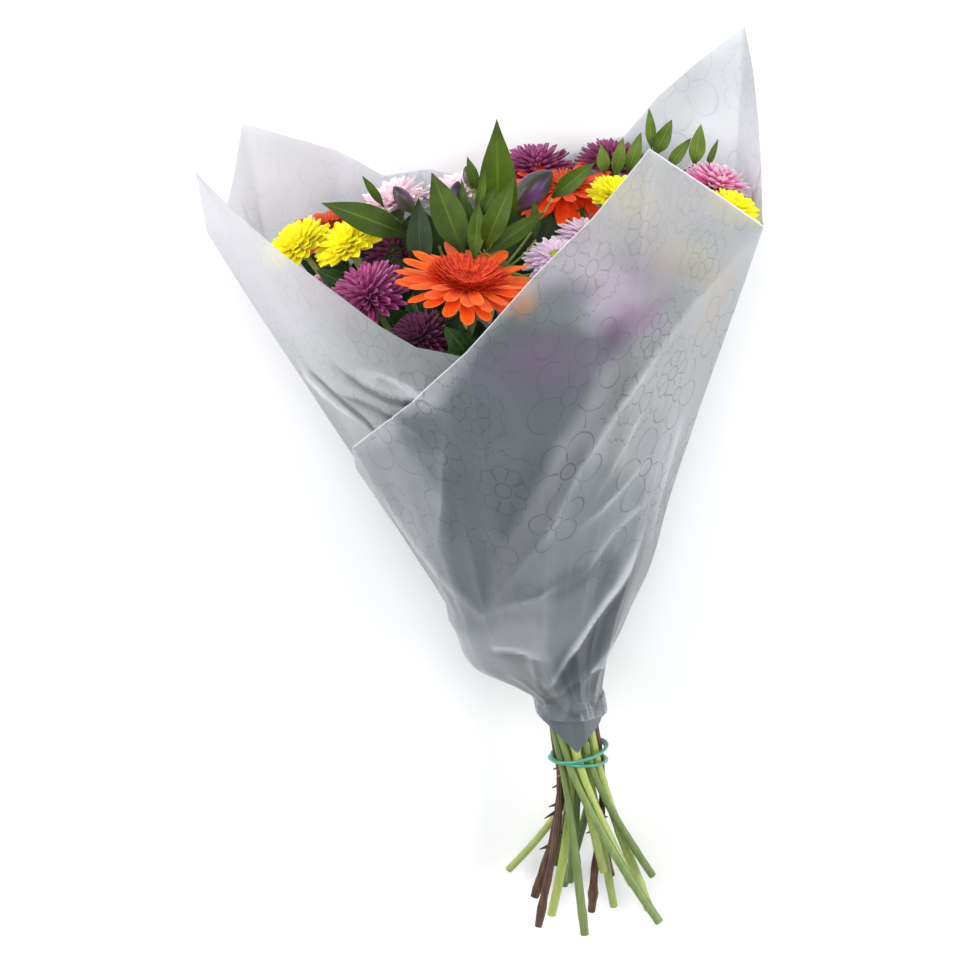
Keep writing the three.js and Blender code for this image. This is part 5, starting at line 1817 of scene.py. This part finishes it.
@dataclass
class FilmWrap:
    """The frosted film wound round the bouquet: one sheet, gathered under the tape.

    Its columns run from the tape to the rim and its rows round it. Bunch and shoulder are the two rings
    above the neck: middle, half width and half height. Gathers are its pleats there: how many go round,
    how deep they are and where they start. Swells are how far it bulges out at the right and the left.
    """

    rim_hub: tuple[float, float] = (14, 84)
    tie: Place = TIE
    lean: float = LEAN
    throat_radius: float = 17.0
    throat_top: float = -116.0
    throat_end: float = -129.0
    layer_step: float = 3.0
    snug: float = 2.1
    lap_lift: tuple[float, float] = (1.5, 0.1)
    fold_length: float = 19.0
    fold_spread: float = 1.1
    fold_tuck: float = 2.0
    bunch: tuple[Place, float, float] = ((33, -95, 44), 39.5, 32.0)
    shoulder: tuple[Place, float, float] = ((36, -78, 46), 45.0, 38.0)
    knee: float = 0.7
    thickness: float = 0.3
    pitch: float = 2.7
    back_pitch: float = 5.0
    front_height: float = 60.0
    flap_corner: Place = (155, 164, 84)
    no_edge: float = 9.0
    flat_reach: float = 60.0
    swells: tuple[float, float] = (3.0, 3.2)
    gathers: tuple[tuple[float, float, float], ...] = (
        (7, 0.9, 0.4), (12, 0.45, 2.1), (4, 0.6, 4.0), (29, 0.14, 1.2))
    smoothing: int = 16
    sharp: float = math.radians(75)
    rows: int = 124
    creases: tuple[Crease, ...] = CREASES
    shades: tuple[Shade, ...] = SHADES

    def build(self) -> Piece:
        """Makes the film and puts it in the wrapper's place.

        Returns:
            The film.
        """
        grid, edge, outer = self.surface()
        normal = self.normals(grid)
        lift, tone = self.relief(grid, normal, outer)
        grid = grid + normal * lift[..., None]
        grid[..., 2] = np.maximum(grid[..., 2], 0.0)
        normal = self.normals(grid)
        inner = grid - normal * self.thickness
        inner[..., 2] = np.maximum(inner[..., 2], 0.0)
        pile = MeshPile()
        pile.add_shell(grid, inner)
        for name, row in {"edge": edge, "tone": tone, **self.contents(grid, normal, outer)}.items():
            pile.marks[name][-1] = np.concatenate([row.ravel(), row[1:-1, 1:-1].ravel()])
        made = pile.build("film_wrap", [FilmFinish().build()], self.sharp)
        flat = self.lay_flat(made, grid)
        piece = dress(made, "film", "wrapper")
        return piece

    def surface(self) -> tuple[Array, Array, Array]:
        """The smooth film.

        Returns:
            Its rows of points from the tape to the rim, how far each point is from an edge that gets a
            painted highlight, and which columns are in the outer flap.
        """
        rims, knees, has_knee = self.rim_line()
        turn = np.unwrap(np.arctan2(rims[:, 2] - self.rim_hub[1], rims[:, 0] - self.rim_hub[0]))
        lap = turn[0] + 2 * math.pi
        layer = self.layer_step * smooth_step(turn, lap - self.lap_lift[0], lap - self.lap_lift[1])
        off = np.minimum(np.abs(turn - 2.5 * math.pi), self.fold_spread)
        corner = 1 - np.sin(off) / math.sin(self.fold_spread)
        low_y = self.throat_end - self.fold_length * corner
        tucked = self.throat_radius - self.fold_tuck * corner
        ring = self.ring(turn, layer)
        snug = self.ring(turn, self.snug + (1 - self.snug / self.layer_step) * layer)
        stations = [snug(low_y, tucked, tucked, self.axis(low_y)),
                    snug(self.throat_top, self.throat_radius, self.throat_radius, self.axis(self.throat_top))]
        for centre, width, height in (self.bunch, self.shoulder):
            stations.append(ring(centre[1], width, height, (centre[0], centre[2])))
        shoulder = stations[-1]
        middle = np.where(has_knee[:, None], knees, shoulder + (rims - shoulder) * self.knee)
        middle[:, 2] = np.maximum(middle[:, 2], 0)
        rims[:, 2] = np.maximum(rims[:, 2], 0)
        stations += [middle, rims]
        grid = self.blend_stations(stations)
        to_rim, to_end = (self.left_along(grid, axis) for axis in (0, 1))
        outer = turn > turn[np.argmin(np.linalg.norm(rims - self.flap_corner, axis=1))] - 0.02
        return grid, np.where(outer, np.minimum(to_rim, to_end), self.no_edge), outer

    @staticmethod
    def left_along(grid: Array, axis: int) -> Array:
        """Measures the film from each point on.

        Args:
            grid: The film's points.
            axis: 0 to measure to the rim and 1 to measure to the outer end.

        Returns:
            How far the grid's last point along the axis is, at each of its points.
        """
        steps = np.flip(np.linalg.norm(np.diff(grid, axis=axis), axis=2), axis)
        padding = [(0, 0), (0, 0)]
        padding[axis] = (0, 1)
        return np.pad(np.flip(np.cumsum(steps, axis=axis), axis), padding)

    def rim_line(self) -> tuple[Array, Array, Array]:
        """Divides the rim evenly.

        Returns:
            Its points, their knees, and which of them have one.
        """
        rims, knees, marks = [], [], []
        ends = [(row[:3], row[3:]) for row in RIM]
        for (rim, knee), (after, knee_after) in zip(ends, ends[1:]):
            pitch = self.pitch if rim[2] + after[2] > 2 * self.front_height else self.back_pitch
            steps = max(2, round(math.dist(rim, after) / pitch))
            for share in np.arange(steps) / steps:
                rims.append(np.add(rim, np.subtract(after, rim) * share))
                bent = bool(knee and (knee_after or share == 0))
                marks.append(bent)
                knees.append(np.add(knee, np.subtract(knee_after or knee, knee) * share) if bent else rim)
        rims, knees = (np.array([*rows, RIM[-1]], float) for rows in (rims, knees))
        return rims, knees, np.array([*marks, False])

    def axis(self, y: Measure) -> tuple[Measure, float]:
        """x and z of the bundle's middle at that y."""
        return self.tie[0] + self.lean * (y - self.tie[1]), self.tie[2]

    def ring(self, turn: Array, layer: Array) -> Callable[..., Array]:
        """A function that gives the points of one ring of the film.

        Args:
            turn: The angle of each point.
            layer: How much further out it is than the ring, where the film laps over itself.

        Returns:
            The function.
        """
        def points(y: Measure, width: Measure, height: Measure, centre: Sequence[Measure]) -> Array:
            """Places the ring's points.

            Args:
                y: How far up they are.
                width: How far they are from the middle to the sides.
                height: How far they are from it to the front and back.
                centre: x and z of the middle.

            Returns:
                One point a row.
            """
            x = centre[0] + (width + layer) * np.cos(turn)
            z = np.maximum(centre[1] + (height + layer) * np.sin(turn), 0)
            return np.stack([x, np.broadcast_to(y, x.shape), z], 1)
        return points

    def blend_stations(self, stations: list[Array]) -> Array:
        """Joins the stations by smooth columns with even rows.

        Args:
            stations: Rings of points from the tape to the rim, all with the same number.

        Returns:
            Rows of points.
        """
        stops = np.array(stations)
        gaps = np.linalg.norm(np.diff(stops, axis=0), axis=2).mean(1)
        reach = np.concatenate([[0], np.cumsum(gaps)])
        fine = np.linspace(0, reach[-1], 4 * self.rows)
        straight = [np.interp(fine, reach, column) for column in stops.reshape(len(stops), -1).T]
        dense = np.stack(straight, 1).reshape(len(fine), -1, 3)
        half = self.smoothing
        kernel = np.hanning(2 * half + 1)
        kernel /= kernel.sum()
        before, after = 2 * dense[:1] - dense[half:0:-1], 2 * dense[-1:] - dense[-2:-half - 2:-1]
        padded = np.concatenate([before, dense, after])
        smooth = np.zeros_like(dense)
        for shift, weight in enumerate(kernel):
            smooth += weight * padded[shift:shift + len(fine)]
        return smooth[np.round(np.linspace(0, len(fine) - 1, self.rows)).astype(int)]

    @staticmethod
    def normals(grid: Array) -> Array:
        """The outward normal at each point."""
        normal = np.cross(np.gradient(grid, axis=0), np.gradient(grid, axis=1))
        return normal / np.maximum(np.linalg.norm(normal, axis=2, keepdims=True), 1e-9)

    def relief(self, grid: Array, normal: Array, outer: Array) -> tuple[Array, Array]:
        """Gathers at the neck, folds and soft waves.

        Args:
            grid: The film's points.
            normal: Its outward normals.
            outer: Which columns are in the outer flap.

        Returns:
            How far each point stands off the smooth film, and its painted tone from 0, painted shade, to 1,
            painted highlight.
        """
        x, y, z = grid[..., 0], grid[..., 1], grid[..., 2]
        above_shoulder = y - self.shoulder[0][1]
        middle = level(y, (-150, 56), (-116, 51), (-78, 36), (200, 14))
        angle = np.arctan2(z - self.tie[2] - 0.14 * np.maximum(above_shoulder, 0), x - middle)
        spiral = angle + 0.0016 * (y - self.throat_top)
        gather = sum(size * (1 - 2 * np.abs(np.sin(0.5 * count * spiral + phase)) ** 0.8)
                     for count, size, phase in self.gathers)
        near = level(y, (-140, 0.35), (-118, 0.5), (-104, 1.4), (-80, 2), (-30, 1.1), (60, 0.35), (260, 0.15))
        bulge = np.exp(-((x - 10) / 24) ** 2 - (above_shoulder / 20) ** 2) * (normal[..., 2] > 0)
        total = gather * near * (1 - 0.75 * bulge)
        front, steep = smooth_step(normal[..., 2], 0.05, 0.4), smooth_step(normal[..., 2], -0.1, 0.1)
        tone = np.zeros_like(x)
        for crease in self.creases:
            lift, pale = crease.press(x, y)
            shown = steep if crease.inner else front
            total += lift * shown
            tone += pale * shown * (outer != crease.inner)
        waves = np.sin(x / 23 + 0.4 * np.sin(y / 31)) * np.sin(y / 41 + x / 67)
        total += 0.7 * smooth_step(y, 40, 120) * waves
        # Painted highlights on the gathers' ridges and painted shade in their pleats, near the neck.
        tone += 0.3 * gather * level(y, (-140, 0.3), (-116, 0.8), (-60, 0.25), (0, 0))
        right, left = smooth_step(np.cos(angle), 0.55, 0.9), smooth_step(-np.cos(angle), 0.5, 0.9)
        total += self.swells[0] * np.exp(-((y + 38) / 26) ** 2) * right
        total += self.swells[1] * smooth_step(-y, 61, 68) * smooth_step(y, -108, -74) * left
        return total, np.clip(0.5 + 0.5 * tone, 0, 1)

    def contents(self, grid: Array, normal: Array, outer: Array) -> dict[str, Array]:
        """The painted shade, and the painted violet and amber glows, at each point for what is behind it.

        Args:
            grid: The film's points.
            normal: Its outward normals.
            outer: Which columns are in the outer flap.

        Returns:
            The three marks, 0 where the film is bare, without painted shade or glow.
        """
        x, y = grid[..., 0], grid[..., 1]
        front = smooth_step(normal[..., 2], -0.1, 0.3)
        # Painted shade on the film behind the flap.
        wing_shade = 0.03 + 0.5 * front * smooth_step(x, -112, -42) + 0.13 * (1 - front) * smooth_step(x, 20, 90)
        wing_shade += smooth_step(y, 200, 240) * 0.3 * (1 - front) + 0.16 * smooth_step(y - 0.5 * x, 228, 262)
        # Painted shade on the flap's right flank.
        flank_shade = 0.12 * smooth_step(x, 78, 108)
        depth = np.where(outer, 0.36 + flank_shade + 0.05 * np.sin(x / 19) * np.sin(y / 27), wing_shade)
        # Painted shade, deeper towards the neck.
        low = level(y, (-129, 1.0), (-122, 0.8), (-70, 0.7), (20, 0.6), (110, 0))
        marks = {"depth": np.maximum(depth, low), "violet": np.zeros(x.shape), "amber": np.zeros(x.shape)}
        for shade in self.shades:
            share = shade.cover(x, y) * front * (outer | (y < -40))
            marks[shade.mark] += (shade.amount - marks[shade.mark]) * share
        # A soft wave in the painted shade.
        marks["depth"] += 0.035 * np.sin(x / 11 + 2 * np.sin(y / 17)) * np.sin(y / 14 + 1.5 * np.sin(x / 23))
        return marks

    def lay_flat(self, made: Piece, grid: Array) -> Array:
        """Gives the film a map in metres, as its sheet lies when it is unrolled.

        Args:
            made: The film.
            grid: Its points.

        Returns:
            The place of each of them on the sheet.
        """
        rows, columns = grid.shape[:2]
        steps = np.linalg.norm(np.diff(grid, axis=0), axis=2)
        reach = self.flat_reach + np.concatenate([np.zeros((1, columns)), np.cumsum(steps, axis=0)])
        middle = rows * 2 // 3
        spans = np.linalg.norm(np.diff(grid[middle], axis=0), axis=1)
        turn = np.concatenate([[0], np.cumsum(spans / reach[middle, 1:])])
        flat = np.stack([reach * np.cos(turn), reach * np.sin(turn)], -1) * MM
        points = np.concatenate([flat.reshape(-1, 2), flat[1:-1, 1:-1].reshape(-1, 2)])
        layer = made.data.uv_layers.new(name="sheet")
        corners = np.empty(len(made.data.loops), int)
        made.data.loops.foreach_get("vertex_index", corners)
        layer.data.foreach_set("uv", points[corners].ravel())
        return flat


@dataclass
class TapeWrap:
    """The clear tape wound round the film's neck, puckered. Its radius is the one inside it."""

    radius: float = 20.35
    width: float = 11.0
    top: float = -117.0
    thickness: float = 0.35
    skew: float = 0.35
    tie: Place = TIE
    lean: float = LEAN
    sides: int = 140
    rows: int = 10

    def build(self) -> Piece:
        """Makes the tape and puts it in its CAD node's place.

        Returns:
            The tape.
        """
        angle = np.linspace(0, 2 * math.pi, self.sides, endpoint=False)
        share = np.linspace(0, 1, self.rows)[:, None]
        y = self.top - self.width * share + self.skew * np.sin(2 * angle + 0.7) * (2 * share - 1)
        pucker = 0.16 * np.sin(17 * angle + 3 * share) + 0.12 * np.sin(29 * angle + 1.3)
        outer = self.radius + self.thickness + pucker
        rings = [self.place(angle, y[i], outer[i]) for i in range(self.rows)]
        rings += [self.place(angle, y[i], outer[i] - self.thickness) for i in range(self.rows)[::-1]]
        corners, sizes = tube_faces(len(rings), self.sides, caps=False)
        corners = corners.reshape(-1, 4)[:, [0, 3, 2, 1]].ravel()
        pile = MeshPile()
        pile.add(np.concatenate(rings), corners, sizes, 0, {"tone": 0.5})
        finish = SmoothFinish("clear tape", (0.08, 0.09, 0.105), (0.25, 0.27, 0.3), 0.2, alpha=0.5, scale=90,
                              depth=0.5, coat=0.25).build()
        return dress(pile.build("neck_tape", [finish]), "tape", "tape_band")

    def place(self, angle: Array, y: Array, radius: Array) -> Array:
        """The points of one ring at those angles, with the y and the radius of each."""
        x = self.tie[0] + self.lean * (y - self.tie[1])
        return np.stack([x + radius * np.cos(angle), y, self.tie[2] + radius * np.sin(angle)], 1)


@dataclass
class RubberLoop:
    """The rubber band: one loop wound twice round the bare stems, crossing itself once."""

    tie: Place = TIE
    radius: float = 15.7
    swing: float = 0.6
    spread: float = 4.6
    slope: float = 1.4
    thickness: float = 2.0
    flatness: float = 1.75
    crossing: float = math.radians(150)
    steps: int = 240
    sides: int = 12

    def build(self) -> Piece:
        """Makes the band and puts it in its CAD node's place.

        Returns:
            The band.
        """
        turn = 4 * math.pi * np.arange(self.steps) / self.steps
        half = (turn - self.crossing) / 2
        reach = self.radius - self.swing * np.cos(half)
        apart = self.spread * np.sign(np.sin(half)) * np.abs(np.sin(half)) ** 1.6
        y = self.tie[1] + self.slope * np.cos(turn) + apart
        row = np.stack([self.tie[0] + reach * np.cos(turn), y, self.tie[2] + reach * np.sin(turn)], 1)
        finish = SmoothFinish("teal rubber", (0.045, 0.28, 0.17), (0.08, 0.36, 0.24), 0.35, scale=300,
                              coat=0.15).build()
        line = line_mesh(row, np.full(self.steps, self.thickness / 2), closed=True)
        mesh = SweepRecipe().bake(line, Sides=self.sides, Flatness=self.flatness, Material=finish)
        pile = MeshPile()
        pile.add_mesh(mesh, tone=0.5)
        return dress(pile.build("rubber_loop", [finish]), "band", "rubber_band")


# Picture


@dataclass
class Studio:
    """The camera, the pale floor and the soft lights. The floor's and the lamps' places are in metres.

    Each lamp has its name, its place, its side's length and its power in watts.
    """

    aim: Place = (0, 16.3, 70)
    tilt: float = math.radians(15)
    distance: float = 2200.0
    field: float = 537.6
    sensor: float = 36.0
    floor_reach: float = 6.0
    floor_height: float = -0.0004
    lamps: tuple[tuple[str, Place, float, float], ...] = (
        ("left", (-1.6, 0.6, 1.0), 1.3, 30), ("right", (1.6, 0.1, 1.0), 1.3, 26),
        ("top", (0.0, 1.1, 2.4), 1.2, 20))
    sky: tuple[float, ...] = (0.97, 0.98, 1.0, 1)
    sky_strength: float = 0.6

    def build(self) -> None:
        """Sets the picture up."""
        scene = bpy.context.scene
        back = Vector((0, math.sin(self.tilt), math.cos(self.tilt)))
        up = Vector((0, math.cos(self.tilt), -math.sin(self.tilt)))
        data = bpy.data.cameras.new("camera")
        data.sensor_width = self.sensor
        data.lens = self.sensor * self.distance / self.field
        data.clip_end = 100
        camera = show("camera", data)
        axes = Matrix((up.cross(back), up, back)).transposed()
        place = (Vector(self.aim) + back * self.distance) * MM
        camera.matrix_world = Matrix.Translation(place) @ axes.to_4x4()
        scene.camera = camera
        self.floor()
        for lamp in self.lamps:
            self.light(*lamp)
        world = bpy.data.worlds.new("room")
        world.use_nodes = True
        background = world.node_tree.nodes["Background"].inputs
        background["Color"].default_value = self.sky
        background["Strength"].default_value = self.sky_strength
        scene.world = world
        scene.view_settings.view_transform = "Standard"
        scene.view_settings.look = "None"
        scene.cycles.max_bounces = 6
        scene.cycles.transparent_max_bounces = 12
        scene.cycles.transmission_bounces = 6
        scene.cycles.caustics_refractive = True

    def floor(self) -> None:
        """Adds the floor, just under the part."""
        mesh = bpy.data.meshes.new("floor")
        corners = [(across * self.floor_reach, up * self.floor_reach, self.floor_height)
                   for across, up in ((-1, -1), (1, -1), (1, 1), (-1, 1))]
        mesh.from_pydata(corners, [], [(0, 1, 2, 3)])
        paint = Paint("pale floor")
        colour = paint.mix(paint.noise(3, 2), (0.86, 0.86, 0.87), (0.89, 0.89, 0.89))
        finish = paint.finish({"Base Color": colour, "Roughness": 0.9, "Specular IOR Level": 0.1})
        mesh.materials.append(finish)
        floor = show("floor", mesh)

    def light(self, name: str, at: Place, size: float, power: float) -> None:
        """Adds a soft square light that faces the bouquet.

        Args:
            name: Its name.
            at: Where it hangs, in metres.
            size: Its side's length in metres.
            power: Its power in watts.
        """
        data = bpy.data.lights.new(name, "AREA")
        data.size = size
        data.energy = power
        lamp = show(name, data)
        lamp.location = at
        lamp.rotation_mode = "QUATERNION"
        lamp.rotation_quaternion = (Vector(at) - Vector(self.aim) * MM).to_track_quat("Z", "Y")


def report(piece: Piece) -> None:
    """Logs a finished piece."""
    LOG.info("%s: %d faces", piece.name, len(piece.data.polygons))


def main() -> None:
    """Builds the bouquet piece by piece, then the picture."""
    logging.basicConfig(level=logging.INFO, format="%(name)s: %(message)s")
    for group in (StemBundle(), FlowerHeads(), FlowerBuds()):
        for piece in group.build():
            report(piece)
    for single in (FilmWrap(), TapeWrap(), RubberLoop()):
        report(single.build())
    Studio().build()


if __name__ == "__main__":
    main()
